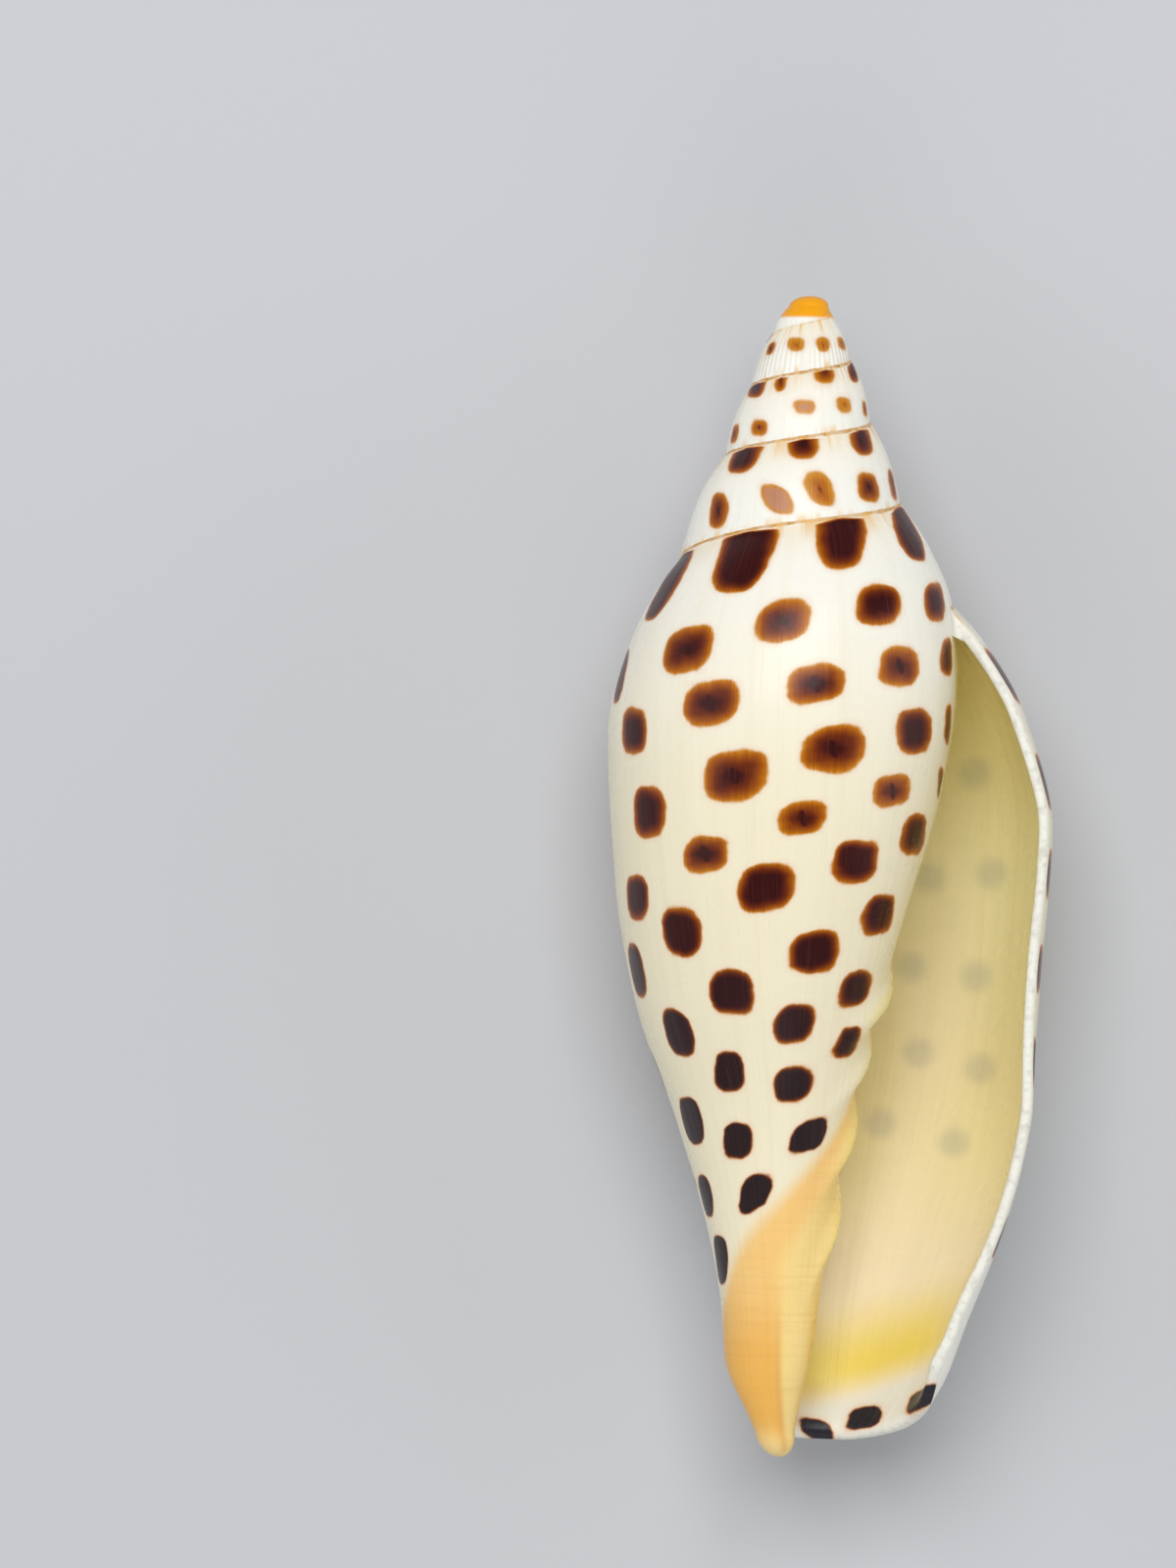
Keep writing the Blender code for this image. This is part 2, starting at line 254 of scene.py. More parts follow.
def outside_radius(turn, depth):
    """Radius of the outside of the last turn at a depth."""
    top, foot, end = whorl_top(turn), whorl_foot(turn), end_depth(turn)
    upper = ribbon(turn, np.clip((depth - top) / (foot - top), 0, 1))[1]
    below = lower(turn, np.clip((depth - foot) / (end - foot), 0, 1))[1]
    return np.where(depth < foot, upper, below)


def inside(turn, spacing, root, bottom):
    """Depth and radius of the inside of the last wall, from its root on the turn before down to bottom."""
    depth = root + (bottom - root) * spacing
    opened = np.clip((turn - NOTCH_TURN) / NOTCH_SPAN, 0, 1)
    shut = (1 - opened) * smooth(spacing, *SHUT_SPAN)
    rise = outside_radius(turn, depth + NUDGE) - outside_radius(turn, depth - NUDGE)
    wall = LIP_WALL + (WALL - LIP_WALL) * smooth(LIP_TURN - turn, 0, WALL_FADE)
    slope = np.clip(rise / (2 * NUDGE), -STEEPEST_WALL, STEEPEST_WALL)
    across = wall * np.sqrt(1 + slope**2) * (1 - SHUT_THINNING * shut)
    radius = outside_radius(turn, depth) - across
    end = end_depth(turn - 1)
    foot = whorl_foot(turn - 1)
    columella = lower(turn - 1, np.clip((depth - foot) / (end - foot), 0, 1))[1]
    ends = np.minimum(smooth(spacing, *CLEARANCE_SPAN), 1 - shut)
    return depth, np.maximum(radius, columella + LUMEN_CLEARANCE * ends)


def place(turn, depth, radius):
    """Points of the shell in its own axes: x to the lip, y to the apex, z out of the aperture."""
    angle = TURN * turn
    lean = through(SPIRE_LEAN, depth)
    return np.stack((radius * np.cos(angle) - lean, -depth, radius * np.sin(angle)), axis=-1)


# Layers of the surface, which tell the finish what a point belongs to
OUTSIDE, INSIDE, EDGE = 0, 1, 2


class Skin:
    """The points and faces of the closed surface, as they are added."""

    def __init__(self):
        self.points = np.zeros((0, 3))
        self.turn = np.zeros(0)
        self.layer = np.zeros(0, int)
        self.faces = []
        self.face_turns = []

    def put(self, points, turn, layer):
        first = len(self.points)
        self.points = np.concatenate((self.points, points))
        self.turn = np.concatenate((self.turn, np.broadcast_to(turn, len(points))))
        self.layer = np.concatenate((self.layer, np.full(len(points), layer)))
        return np.arange(first, first + len(points))

    def depth(self):
        return -self.points[:, 1]

    def add(self, turn, depth, radius, layer=OUTSIDE):
        depth, radius, turn = np.broadcast_arrays(np.atleast_1d(depth), radius, turn)
        return self.put(place(turn, depth, radius), turn, layer)

    def band(self, left, right, left_turn, right_turn):
        """Faces between two chains of points of the same length."""
        count = len(left) - 1
        self.faces.append(np.stack((left[:-1], right[:-1], right[1:], left[1:]), axis=1))
        turns = np.array((left_turn, right_turn, right_turn, left_turn), float)
        self.face_turns.append(np.broadcast_to(turns, (count, 4)))

    def zip(self, left, right, turn):
        """Triangles across a flat gap between two chains that both run down and share their ends."""
        a, b = 0, 0
        faces = []
        while a < len(left) - 1 or b < len(right) - 1:
            down_left = a < len(left) - 1 and (
                b == len(right) - 1 or self.points[left[a + 1]][1] > self.points[right[b + 1]][1]
            )
            corner = left[a + 1] if down_left else right[b + 1]
            faces.append((left[a], corner, right[b], right[b]))
            a, b = a + down_left, b + (not down_left)
        self.faces.append(np.array(faces))
        self.face_turns.append(np.full((len(faces), 4), turn))


def row_fractions(spans):
    """Fractions of the lower wall at which its rows run, with rows of even depth in each span."""
    rows = []
    low = 0.0
    for high, count in spans:
        rows += [low + (high - low) * (k + 1) / count for k in range(count)]
        low = high
    return np.array(rows)


def ring_bands(skin, above, below, turns):
    """Faces between two closed rings."""
    for k in range(len(above)):
        n = (k + 1) % len(above)
        skin.band(
            np.array((above[k], below[k])), np.array((above[n], below[n])), turns[k], turns[k] + 1 / STATIONS
        )


def add_cap(skin):
    """The round cap at the apex, down to its rim."""
    depth, radius = float(whorl_top(FIRST_TURN)), float(through(SPIRE_OUTLINE, whorl_top(FIRST_TURN)))
    turns = FIRST_TURN + np.arange(STATIONS) / STATIONS
    above = np.full(STATIONS, skin.add(FIRST_TURN, 0.0, 0.0)[0])
    for row in range(1, CAP_ROWS + 1):
        tilt = math.pi / 2 * row / CAP_ROWS
        ring = skin.add(turns, depth * (1 - math.cos(tilt)), radius * math.sin(tilt))
        ring_bands(skin, above, ring, turns)
        above = ring
    return above


def add_spire(skin, rim, turns):
    """The ribbon of the outside from suture to suture, from the cap to the lip, station by station."""
    fractions = np.arange(1, RIBBON_ROWS + 1) / RIBBON_ROWS
    chains = []
    for i, turn in enumerate(turns):
        first = rim[i] if i < STATIONS else chains[i - STATIONS][-1]
        if i == 0:
            chains.append(np.full(RIBBON_ROWS + 1, first))
            continue
        chains.append(np.append(first, skin.add(turn, *ribbon(turn, fractions))))
    for i in range(len(turns) - 1):
        skin.band(chains[i + 1], chains[i], turns[i + 1], turns[i])
    return chains


def add_lower(skin, spire, turns, deepest, notch):
    """The wall below the next turn's attachment: outside in the last turn, columella before it."""
    fractions = row_fractions(ROW_SPANS)
    chains = {}
    for i in range(deepest, len(turns)):
        turn = turns[i]
        root = ROOT_DEPTH / float(end_depth(turn) - whorl_foot(turn))
        rows = np.concatenate((root * np.arange(1, ROOT_ROWS + 1) / ROOT_ROWS, root + (1 - root) * fractions))
        layer = OUTSIDE if turn >= LIP_TURN - 1 else INSIDE
        if i == notch:
            added = np.append(skin.add(turn, *lower(turn, rows[:-1])), chains[notch - STATIONS][-1])
        else:
            added = skin.add(turn, *lower(turn, rows), layer)
        chains[i] = np.append(spire[i][-1], added)
    last = len(turns) - 1
    for i in range(deepest, last):
        start = 0 if i >= last - STATIONS else ROOT_ROWS
        skin.band(chains[i + 1][start:], chains[i][start:], turns[i + 1], turns[i])
    return chains


def add_tip(skin, ring, turns):
    """The rounded end of the columella, below the closed ring of its stations."""
    above = ring
    x, y, z = skin.points[ring].T
    for row in range(1, TIP_ROWS):
        tilt = math.pi / 2 * row / TIP_ROWS
        centre = TIP_RING_X + (TIP_X - TIP_RING_X) * math.sin(tilt)
        points = np.stack((
            centre + (x - TIP_RING_X) * math.cos(tilt),
            y - (SHELL_LENGTH + y) * math.sin(tilt),
            z * math.cos(tilt),
        ), axis=1)
        below = skin.put(points, turns, OUTSIDE)
        ring_bands(skin, below, above, turns)
        above = below
    pole = skin.put(np.array(((TIP_X, -SHELL_LENGTH, 0.0),)), turns[0], OUTSIDE)
    ring_bands(skin, np.full(len(ring), pole[0]), above, turns)


def rounded(inner, outer, push, rounding):
    """Points across an edge from inner to outer, swollen by a share of its thickness towards push."""
    steps = np.arange(1, EDGE_ROWS) / EDGE_ROWS
    middle = (inner + outer) / 2
    half = (inner - outer) / 2
    size = np.linalg.norm(half, axis=-1, keepdims=True)
    return [
        middle + half * math.cos(math.pi * f) + push * size * (2 * rounding * math.sin(math.pi * f))
        for f in steps
    ]


def add_inside(skin, spire, low, turns, lumen, notch):
    """The inside of the last wall, its lip and lower edge, and the end of the hollow deep within."""
    last = len(turns) - 1
    chains = {}
    for i in range(lumen, last + 1):
        turn = turns[i]
        outer = np.append(spire[i], low[i][1:])
        y = skin.points[outer, 1]
        spacing = (y - y[0]) / (y[-1] - y[0])
        before = low[i - STATIONS]
        closed = i <= notch
        root = -skin.points[before[ROOT_ROWS], 1]
        bottom = -skin.points[before[-1], 1] if closed else float(end_depth(turn))
        if closed:
            middle = skin.add(turn, *inside(turn, spacing[1:-1], root, bottom), INSIDE)
            chains[i] = np.concatenate((before[ROOT_ROWS:ROOT_ROWS + 1], middle, before[-1:]))
        else:
            middle = skin.add(turn, *inside(turn, spacing[1:], root, bottom), INSIDE)
            chains[i] = np.append(before[ROOT_ROWS], middle)
    for i in range(lumen, last):
        skin.band(chains[i], chains[i + 1], turns[i], turns[i + 1])

    ends = {notch: np.full(EDGE_ROWS + 1, low[notch][-1])}
    for i in range(notch + 1, last + 1):
        a, b = skin.points[chains[i][-1]], skin.points[low[i][-1]]
        push = np.array((0.0, -1.0, 0.0)) * min(1.0, (i - notch) / RIM_EASE_STATIONS)
        arc = np.array(rounded(a, b, push, RIM_ROUNDING))
        ends[i] = np.concatenate((chains[i][-1:], skin.put(arc, turns[i], EDGE), low[i][-1:]))
    for i in range(notch, last):
        skin.band(ends[i], ends[i + 1], turns[i], turns[i + 1])

    outer = np.append(spire[last], low[last][1:])
    inner = chains[last]
    a, b = skin.points[inner], skin.points[outer]
    angle = TURN * turns[last]
    rows = np.arange(len(inner))
    ease = (smooth(rows, 0, RIBBON_ROWS / 2) * smooth(len(inner) - 1 - rows, 0, LIP_EASE_ROWS))[:, None]
    push = np.array((-math.sin(angle), 0.0, math.cos(angle))) * ease
    left = inner
    for k, arc in enumerate(rounded(a, b, push, LIP_ROUNDING)):
        middle = skin.put(arc[1:-1], turns[last], EDGE)
        chain = np.concatenate((outer[:1], middle, ends[last][k + 1:k + 2]))
        skin.band(left, chain, turns[last], turns[last])
        left = chain
    skin.band(left, outer, turns[last], turns[last])
    root = low[last - STATIONS][:ROOT_ROWS + 1]
    fan = np.stack((np.full(ROOT_ROWS - 1, root[0]), root[1:-1], root[2:], root[2:]), axis=1)
    skin.faces.append(fan)
    skin.face_turns.append(np.full(fan.shape, turns[last]))
    skin.zip(low[lumen - STATIONS][ROOT_ROWS:], chains[lumen], turns[lumen])


def shell_surface():
    """The whole shell as one closed surface."""
    skin = Skin()
    count = round(WHORLS * STATIONS)
    turns = [FIRST_TURN + i / STATIONS for i in range(count + 1)]
    notch = count - round((LIP_TURN - NOTCH_TURN) * STATIONS)
    lumen = count - round(LUMEN_TURNS * STATIONS)
    rim = add_cap(skin)
    spire = add_spire(skin, rim, turns)
    low = add_lower(skin, spire, turns, lumen - STATIONS, notch)
    ring = np.array([low[i][-1] for i in range(notch - STATIONS, notch)])
    add_tip(skin, ring, np.array(turns[notch - STATIONS:notch]))
    add_inside(skin, spire, low, turns, lumen, notch)
    return skin


def front_picture(points):
    """Where points of the shell are seen in the front picture."""
    x, y, z = points.T
    near = CAMERA_HEIGHT / (CAMERA_HEIGHT - z)
    across, down = x * near * FRONT_SCALE, -y * near * FRONT_SCALE
    cos, sin = math.cos(FRONT_LEAN), math.sin(FRONT_LEAN)
    return (
        FRONT_APEX[0] + across * cos + down * sin,
        FRONT_APEX[1] - across * sin + down * cos,
    )


def back_picture(points):
    """Where points of the shell are seen in the back picture, which has the lip at its left."""
    x, y, z = points.T
    spin = TURN * BACK_SPIN
    x = x * math.cos(spin) - z * math.sin(spin)
    across, down = -x * BACK_SCALE, -y * BACK_SCALE
    cos, sin = math.cos(BACK_LEAN), math.sin(BACK_LEAN)
    return (
        BACK_APEX[0] + across * cos + down * sin,
        BACK_APEX[1] - across * sin + down * cos,
    )


# Markings in each picture: across, down, width and height in pixels, and the tone. After them come,
# where they aren't nil, how far the top leans to the right for its height, and how far the right
# side rises for its width
FRONT_MARKS = (
    (786, 357, 8, 14, DARK, 0.3), (811, 353, 16, 14, AMBER), (839, 353, 12, 14, AMBER),
    (859, 352, 8, 14, AMBER, -0.3),
    (772, 397, 17, 22, DARK, 0.3), (797, 390, 12, 20, BROWN, 0.1), (840, 385, 25, 20, BROWN, -0.1),
    (870, 382, 12, 21, DARK, -0.2),
    (748, 443, 9, 20, BROWN, 0.3), (773, 437, 16, 15, BROWN), (819, 419, 22, 15, PALE),
    (861, 416, 15, 17, AMBER, -0.1), (883, 420, 6, 16, BROWN, -0.2),
    (762, 466, 30, 37, DARK, 0.35, 0.1), (819, 457, 34, 31, DARK, 0, 0.05),
    (877, 451, 25, 31, DARK, -0.2, 0.05),
    (732, 525, 20, 38, BROWN, 0.1), (790, 513, 28, 32, PALE, -0.5), (836, 504, 28, 36, AMBER, -0.2),
    (886, 500, 23, 32, BROWN, -0.1), (911, 497, 9, 32, BROWN, -0.2),
    (682, 597, 26, 78, DARK, 0.5), (757, 573, 56, 76, DARK, 0.3, 0.1), (857, 555, 54, 64, DARK, 0, 0.05),
    (925, 545, 28, 58, DARK, -0.3),
    (697, 665, 50, 46, BROWN, 0.2, 0.15), (797, 640, 58, 45, BROWN, 0.1, 0.12),
    (895, 624, 48, 42, DARK, 0, 0.05), (954, 617, 22, 42, DARK, -0.1),
    (632, 690, 20, 56, DARK, 0.1), (723, 726, 60, 46, BROWN, 0.1, 0.12),
    (827, 702, 62, 42, BROWN, 0.1, 0.1), (917, 684, 41, 41, BROWN, 0, 0.05), (966, 676, 14, 38, DARK),
    (645, 753, 29, 49, DARK), (744, 798, 68, 53, BROWN, 0.05, 0.1),
    (846, 772, 66, 49, BROWN, 0.1, 0.1), (930, 751, 35, 48, DARK), (965, 740, 9, 43, DARK),
    (660, 829, 37, 55, DARK, -0.05), (716, 878, 50, 38, BROWN, 0.05, 0.1),
    (817, 845, 50, 35, BROWN, 0.1, 0.1), (910, 817, 36, 34, BROWN, 0.1, 0.1), (957, 797, 10, 33, DARK),
    (649, 917, 28, 48, DARK, -0.1), (780, 915, 61, 50, DARK, 0.05, 0.1),
    (872, 882, 45, 45, DARK, 0.1, 0.1), (933, 857, 22, 44, DARK, 0.2),
    (694, 954, 47, 53, DARK, -0.1), (829, 974, 51, 46, DARK, 0.1, 0.1), (897, 938, 27, 42, DARK, 0.2, 0.1),
    (649, 991, 28, 58, DARK, -0.2), (745, 1016, 53, 47, DARK, -0.05), (872, 1010, 27, 37, DARK, 0.2, 0.1),
    (690, 1058, 36, 48, DARK, -0.25), (810, 1050, 42, 41, DARK, 0.1, 0.1),
    (863, 1065, 24, 35, DARK, 0.3, 0.1),
    (673, 1094, 16, 46, DARK, -0.3), (743, 1097, 38, 42, DARK), (809, 1112, 43, 37, DARK, 0.1, 0.1),
    (704, 1145, 30, 50, DARK, -0.25), (751, 1167, 37, 39, DARK, 0.1), (824, 1160, 35, 33, NAVY, 0.2, 0.3),
    (719, 1222, 23, 46, DARK, -0.2), (768, 1222, 36, 37, NAVY, 0.2, 0.25), (735, 1288, 23, 52, NAVY),
)
BACK_MARKS = (
    (345, 176, 14, 22, DARK, 0.3), (379, 167, 18, 19, BROWN), (412, 165, 19, 19, BROWN),
    (431, 164, 10, 21, DARK, -0.2),
    (351, 200, 13, 13, AMBER), (383, 195, 13, 10, AMBER), (416, 193, 11, 9, AMBER),
    (436, 194, 5, 9, AMBER), (331, 209, 6, 15, BROWN, 0.2),
    (341, 229, 24, 31, DARK, 0.4, 0.1), (399, 215, 37, 23, BROWN, 0, 0.05), (444, 210, 20, 25, DARK, -0.3),
    (370, 254, 24, 19, PALE), (359, 269, 22, 17, PALE), (417, 259, 24, 24, AMBER),
    (431, 238, 19, 10, AMBER, 0, 0.1), (460, 255, 12, 20, BROWN, -0.1), (317, 275, 14, 30, BROWN, 0.1),
    (313, 318, 38, 50, DARK, 0.4, 0.1), (389, 302, 47, 44, DARK, 0, 0.05), (458, 292, 30, 42, DARK, -0.15),
    (269, 389, 27, 38, DARK, 0.1), (340, 370, 47, 35, AMBER, 0.05, 0.1), (419, 357, 38, 34, BROWN, 0, 0.05),
    (482, 347, 26, 33, DARK, -0.1),
    (220, 456, 24, 64, DARK, 0.5), (193, 505, 24, 33, DARK, 0.3), (261, 468, 52, 90, DARK, 0.35, 0.1),
    (364, 449, 70, 86, DARK, 0.1, 0.1), (477, 430, 58, 82, DARK, -0.1), (535, 419, 28, 80, DARK, -0.3),
    (176, 584, 29, 61, DARK, 0.1), (265, 569, 64, 59, BROWN, 0.05, 0.08), (385, 545, 67, 57, PALE, 0, 0.05),
    (497, 527, 54, 54, BROWN), (564, 513, 26, 56, DARK, -0.15), (581, 585, 12, 50, DARK),
    (160, 685, 21, 53, DARK), (216, 671, 54, 54, BROWN, 0, 0.05), (327, 645, 72, 50, BROWN, 0.05, 0.1),
    (444, 621, 67, 50, BROWN, 0.05, 0.1), (536, 603, 43, 51, BROWN, 0, 0.05),
    (351, 696, 60, 20, PALE, 0, 0.15),
    (171, 741, 14, 19, DARK), (239, 777, 61, 58, BROWN, 0, 0.05), (349, 746, 75, 57, BROWN, 0, 0.1),
    (463, 714, 66, 58, BROWN, 0, 0.08), (547, 690, 36, 56, DARK, 0, 0.05), (580, 663, 10, 56, DARK),
    (177, 794, 24, 57, DARK, -0.1), (312, 849, 65, 49, BROWN, 0.05, 0.1),
    (422, 815, 65, 46, BROWN, 0.1, 0.15),
    (517, 780, 44, 44, BROWN, 0.15, 0.15), (565, 750, 14, 44, DARK, 0.2),
    (222, 878, 41, 52, DARK, -0.1), (363, 910, 74, 58, DARK, 0, 0.1), (470, 868, 54, 57, BROWN, 0.1, 0.15),
    (538, 834, 28, 58, DARK, 0.3), (176, 900, 17, 46, DARK, -0.15),
    (264, 950, 55, 56, DARK, -0.1), (388, 1005, 68, 57, DARK, 0, 0.15), (478, 951, 40, 56, DARK, 0.25, 0.1),
    (205, 978, 32, 58, DARK, -0.2), (299, 1051, 56, 52, DARK, -0.1, -0.05),
    (427, 1059, 46, 50, DARK, 0.2, 0.2),
    (487, 1005, 20, 48, NAVY, 0.3), (184, 1000, 10, 52, NAVY, -0.25), (202, 1057, 9, 27, NAVY, -0.2),
    (243, 1086, 38, 53, NAVY, -0.25), (356, 1109, 50, 35, NAVY, 0, -0.1),
    (458, 1091, 30, 47, NAVY, 0.3, 0.1),
    (302, 1153, 43, 41, NAVY, -0.1, -0.05), (404, 1151, 48, 35, NAVY, 0.1, 0.2),
    (452, 1159, 22, 38, NAVY, 0.3, 0.1),
    (247, 1163, 13, 29, NAVY, -0.1), (269, 1196, 23, 47, NAVY, -0.25), (345, 1204, 46, 38, NAVY, 0, 0.05),
    (406, 1218, 44, 30, NAVY, 0.2, 0.35), (305, 1247, 30, 39, NAVY, -0.1),
    (354, 1268, 34, 30, NAVY, 0.2, 0.3),
)

# Markings at the edge of the lip, which neither picture shows in full: turn, depth, width, height
LIP_MARKS = (
    (0.028, 32.4, 5.0, 4.6), (0.030, 41.4, 5.2, 4.9), (0.034, 49.3, 5.0, 4.2), (0.036, 57.4, 4.6, 4.2),
    (0.036, 65.6, 4.6, 4.4), (0.034, 80.5, 3.6, 3.8),
)

# Painted shadows of the outer marks, seen through the thin wall inside the aperture, and the markings on its
# lower rim
SHADOWS_THROUGH_WALL = (
    (952, 889), (1014, 887), (933, 979), (998, 992), (940, 1068), (1002, 1087), (901, 1140), (975, 1162),
    (997, 784),
)
RIM_MARKS = (
    (941, 1427, 28, 24, NAVY, 0.2, 0.4), (882, 1445, 34, 26, NAVY, 0.4, 0.1),
    (834, 1456, 34, 24, NAVY, -0.2, -0.3),
    (966, 1398, 8, 12, BROWN),
)

# Form of a mark, and the distance from its edge past which nothing changes
SQUARENESS = 2.7
LEAST_SIZE = 1e-4
FAR = 5.0

# The surface that a mark may cover, in turns round and millimetres down from its middle
SAME_WHORL = 0.25
MARK_REACH = 9.0

# A mark that starts this near to the suture goes on under it, by so much
UNDER_SUTURE = 0.8
PAST_SUTURE = 1.6

# Most that a mark is drawn out, or leant, where the picture shows the surface at a slant
MOST_STRETCH = 2.3
MOST_LEAN = 1.3
LEAST_FACING = 0.1
LEAST_SHOWN = 0.01
SMALL_TURN = 0.004

# Depths over which the dark marks lose their amber rims, and how far their tone goes
DEEPENING = (44, 72)
DEEPER = 0.2

# Where marks are laid: turns of the outside, turns beside the lip, and the top of the lower rim
FIRST_MARKED_TURN = FIRST_TURN + 0.5
LAST_FRONT_TURN = -0.3
LIP_MARK_REACH = 0.12
RIM_MARK_DEPTH = 90.0

# Painted shadows of the marks through the wall: size in pixels, the shares of it over which they fade, and
# turns past the notch
WALL_SHADOW_PX = 20.0
WALL_SHADOW_FADE = (0.35, 1.15)
WALL_SHADOW_REACH = 0.1


def full_mark(mark):
    """A mark with the leans that its row leaves out."""
    return (*mark, 0, 0)[:7]


def mark_distance(across, down, width, height, lean=0, rise=0):
    """Signed distance inwards from the edge of a rounded square, all in one unit."""
    u = across + lean * down
    v = down + rise * across
    a, b = width / 2, height / 2
    size = (np.abs(u / a) ** SQUARENESS + np.abs(v / b) ** SQUARENESS) ** (1 / SQUARENESS)
    size = np.maximum(size, LEAST_SIZE)
    steep = size ** (1 - SQUARENESS) * np.hypot(
        np.abs(u / a) ** (SQUARENESS - 1) / a, np.abs(v / b) ** (SQUARENESS - 1) / b
    )
    return (1 - size) / np.maximum(steep, 1 / (2 * max(a, b)))


class Marking:
    """The distance to the nearest mark's edge and its tone, at every point of the surface."""

    def __init__(self, skin, normals):
        self.points = skin.points
        self.turn = skin.turn
        self.depth = skin.depth()
        across = skin.points[:, 0] + through(SPIRE_LEAN, self.depth)
        self.radius = np.hypot(across, skin.points[:, 2])
        self.normals = normals
        self.distance = np.full(len(skin.points), -FAR)
        self.tone = np.full(len(skin.points), DARK)

    def lay(self, chosen, picture, facing, scale, marks):
        """Lays the marks of one picture on the chosen points, each round the point seen at its middle."""
        seen = chosen[self.normals[chosen, 2] * facing > 0]
        x, y = picture(self.points[seen])
        for across, down, width, height, tone, lean, rise in map(full_mark, marks):
            middle = seen[np.argmin(np.hypot(x - across, y - down))]
            turn, depth, radius = self.turn[middle], self.depth[middle], self.radius[middle]
            to_turn, stretch_x = self.spread(picture, scale, turn, depth)
            slope = self.normals[middle][1] / max(abs(self.normals[middle][2]), LEAST_FACING)
            stretch_y = min(math.hypot(1, slope), MOST_STRETCH)
            close = np.abs(self.turn[chosen] - turn) < SAME_WHORL
            near = chosen[close & (np.abs(self.depth[chosen] - depth) < MARK_REACH)]
            outward = (self.radius[near] - radius) * math.cos(TURN * turn) * facing
            u = (turn - self.turn[near]) * to_turn * self.radius[near] / radius + outward * stretch_x
            v = (self.depth[near] - depth) * stretch_y
            wide, tall = width * stretch_x / scale, height * stretch_y / scale
            if depth - height / scale / 2 - whorl_top(turn) < UNDER_SUTURE:
                v, tall = v + PAST_SUTURE / 2, tall + PAST_SUTURE
            lean *= min(stretch_x / stretch_y, MOST_LEAN)
            rise *= min(stretch_y / stretch_x, MOST_LEAN)
            if tone == DARK:
                tone -= DEEPER * float(smooth(depth, *DEEPENING))
            self.keep(near, mark_distance(u, v, wide, tall, lean, rise), tone)

    def spread(self, picture, scale, turn, depth):
        """Surface length to a turn round a point, and how much shorter the picture shows it."""
        turns = np.array((turn - SMALL_TURN, turn + SMALL_TURN))
        depths = np.full(2, depth)
        ends = place(turns, depths, outside_radius(turns, depths))
        x = picture(ends)[0]
        length = np.linalg.norm(ends[1] - ends[0])
        shown = abs(x[1] - x[0]) / scale
        return length / (2 * SMALL_TURN), min(length / max(shown, LEAST_SHOWN * length), MOST_STRETCH)

    def lay_flat(self, chosen, scale, marks):
        """Lays marks of the front picture on points that are seen flat in it."""
        x, y = front_picture(self.points[chosen])
        for across, down, width, height, tone, lean, rise in map(full_mark, marks):
            u, v = (x - across) / scale, (y - down) / scale
            self.keep(chosen, mark_distance(u, v, width / scale, height / scale, lean, rise), tone)

    def keep(self, points, inward, tone):
        closer = inward > self.distance[points]
        self.distance[points[closer]] = inward[closer]
        self.tone[points[closer]] = tone


def marking(skin, normals):
    """All the marks of the outside and of the lower rim."""
    marks = Marking(skin, normals)
    outside = np.nonzero((skin.layer == OUTSIDE) & (skin.turn > FIRST_MARKED_TURN))[0]
    body = outside[skin.turn[outside] < LAST_FRONT_TURN]
    marks.lay(body, front_picture, 1, FRONT_SCALE, FRONT_MARKS)
    marks.lay(outside, back_picture, -1, BACK_SCALE, BACK_MARKS)
    edge = outside[np.abs(skin.turn[outside]) < LIP_MARK_REACH]
    x, y, z = skin.points[edge].T
    for turn, depth, width, height in LIP_MARKS:
        across = (skin.turn[edge] - turn) * TURN * np.hypot(x, z)
        marks.keep(edge, mark_distance(across, -y - depth, width, height), DARK)
    low = (skin.turn > NOTCH_TURN) & (skin.points[:, 1] < -RIM_MARK_DEPTH)
    marks.lay_flat(np.nonzero((skin.layer != OUTSIDE) & low)[0], FRONT_SCALE, RIM_MARKS)
    return marks


def painted_wall_shadows(skin):
    """How strongly the painted shadows of the outer marks show through the wall inside the aperture."""
    x, y = front_picture(skin.points)
    total = np.zeros(len(x))
    for across, down in SHADOWS_THROUGH_WALL:
        away = np.hypot(x - across, y - down) / WALL_SHADOW_PX
        total = np.maximum(total, 1 - smooth(away, *WALL_SHADOW_FADE))
    return np.where((skin.layer == INSIDE) & (skin.turn > NOTCH_TURN - WALL_SHADOW_REACH), total, 0.0)


def mixed(low, high, share):
    """Colours between two, by a share for each point."""
    return low + (high - low) * np.asarray(share)[:, None]


def linear(red, green, blue):
    """A colour as seen on a screen, 0 to 255, made linear."""
    value = np.array((red, green, blue)) / 255
    return np.where(value <= 0.04045, value / 12.92, ((value + 0.055) / 1.055) ** 2.4)


IVORY = linear(245, 236, 206)
WHITE = linear(250, 249, 240)
PARCHMENT = linear(248, 239, 208)
STAIN = linear(240, 196, 100)
PEACH = linear(252, 207, 130)
AMBER_PEACH = linear(244, 186, 92)
GOLD = linear(252, 222, 146)
DEEP_GOLD = linear(246, 196, 84)
ORANGE = linear(250, 170, 18)
TAN = linear(252, 238, 168)
SAND = linear(255, 246, 190)
CREAM = linear(255, 242, 182)
BUTTER = linear(255, 241, 205)
YELLOW = linear(248, 222, 80)
CHALK = linear(244, 243, 232)
# Pale yellow of the folds' rolls, with a painted highlight along their ridges
FOLD_YELLOW_AND_HIGHLIGHT = linear(255, 240, 150)
AMBER_LINE = linear(214, 140, 40)

# Ground of the outside. Pairs are depths, or turns where they are named so, between which a colour
# comes in, and a share is how much of it there is at most
BACK_WHITENING_TURNS = (-0.52, -0.38)
BASE_WHITENING = (62, 84)
SPIRE_WHITENING = (18, 48)
STAIN_REACH = 1.6
STAIN_SHARE = 0.35
FIRST_STAINED_TURN = FIRST_TURN + 1.2
CAP_RIM = (1.75, 2.05)
RIBLETS_START = (3.6, 4.6)
RIBLETS_END = (6.2, 7.4)
ABOVE_SUTURE = 2.4
REAR_TURNS = (-0.55, -0.42)

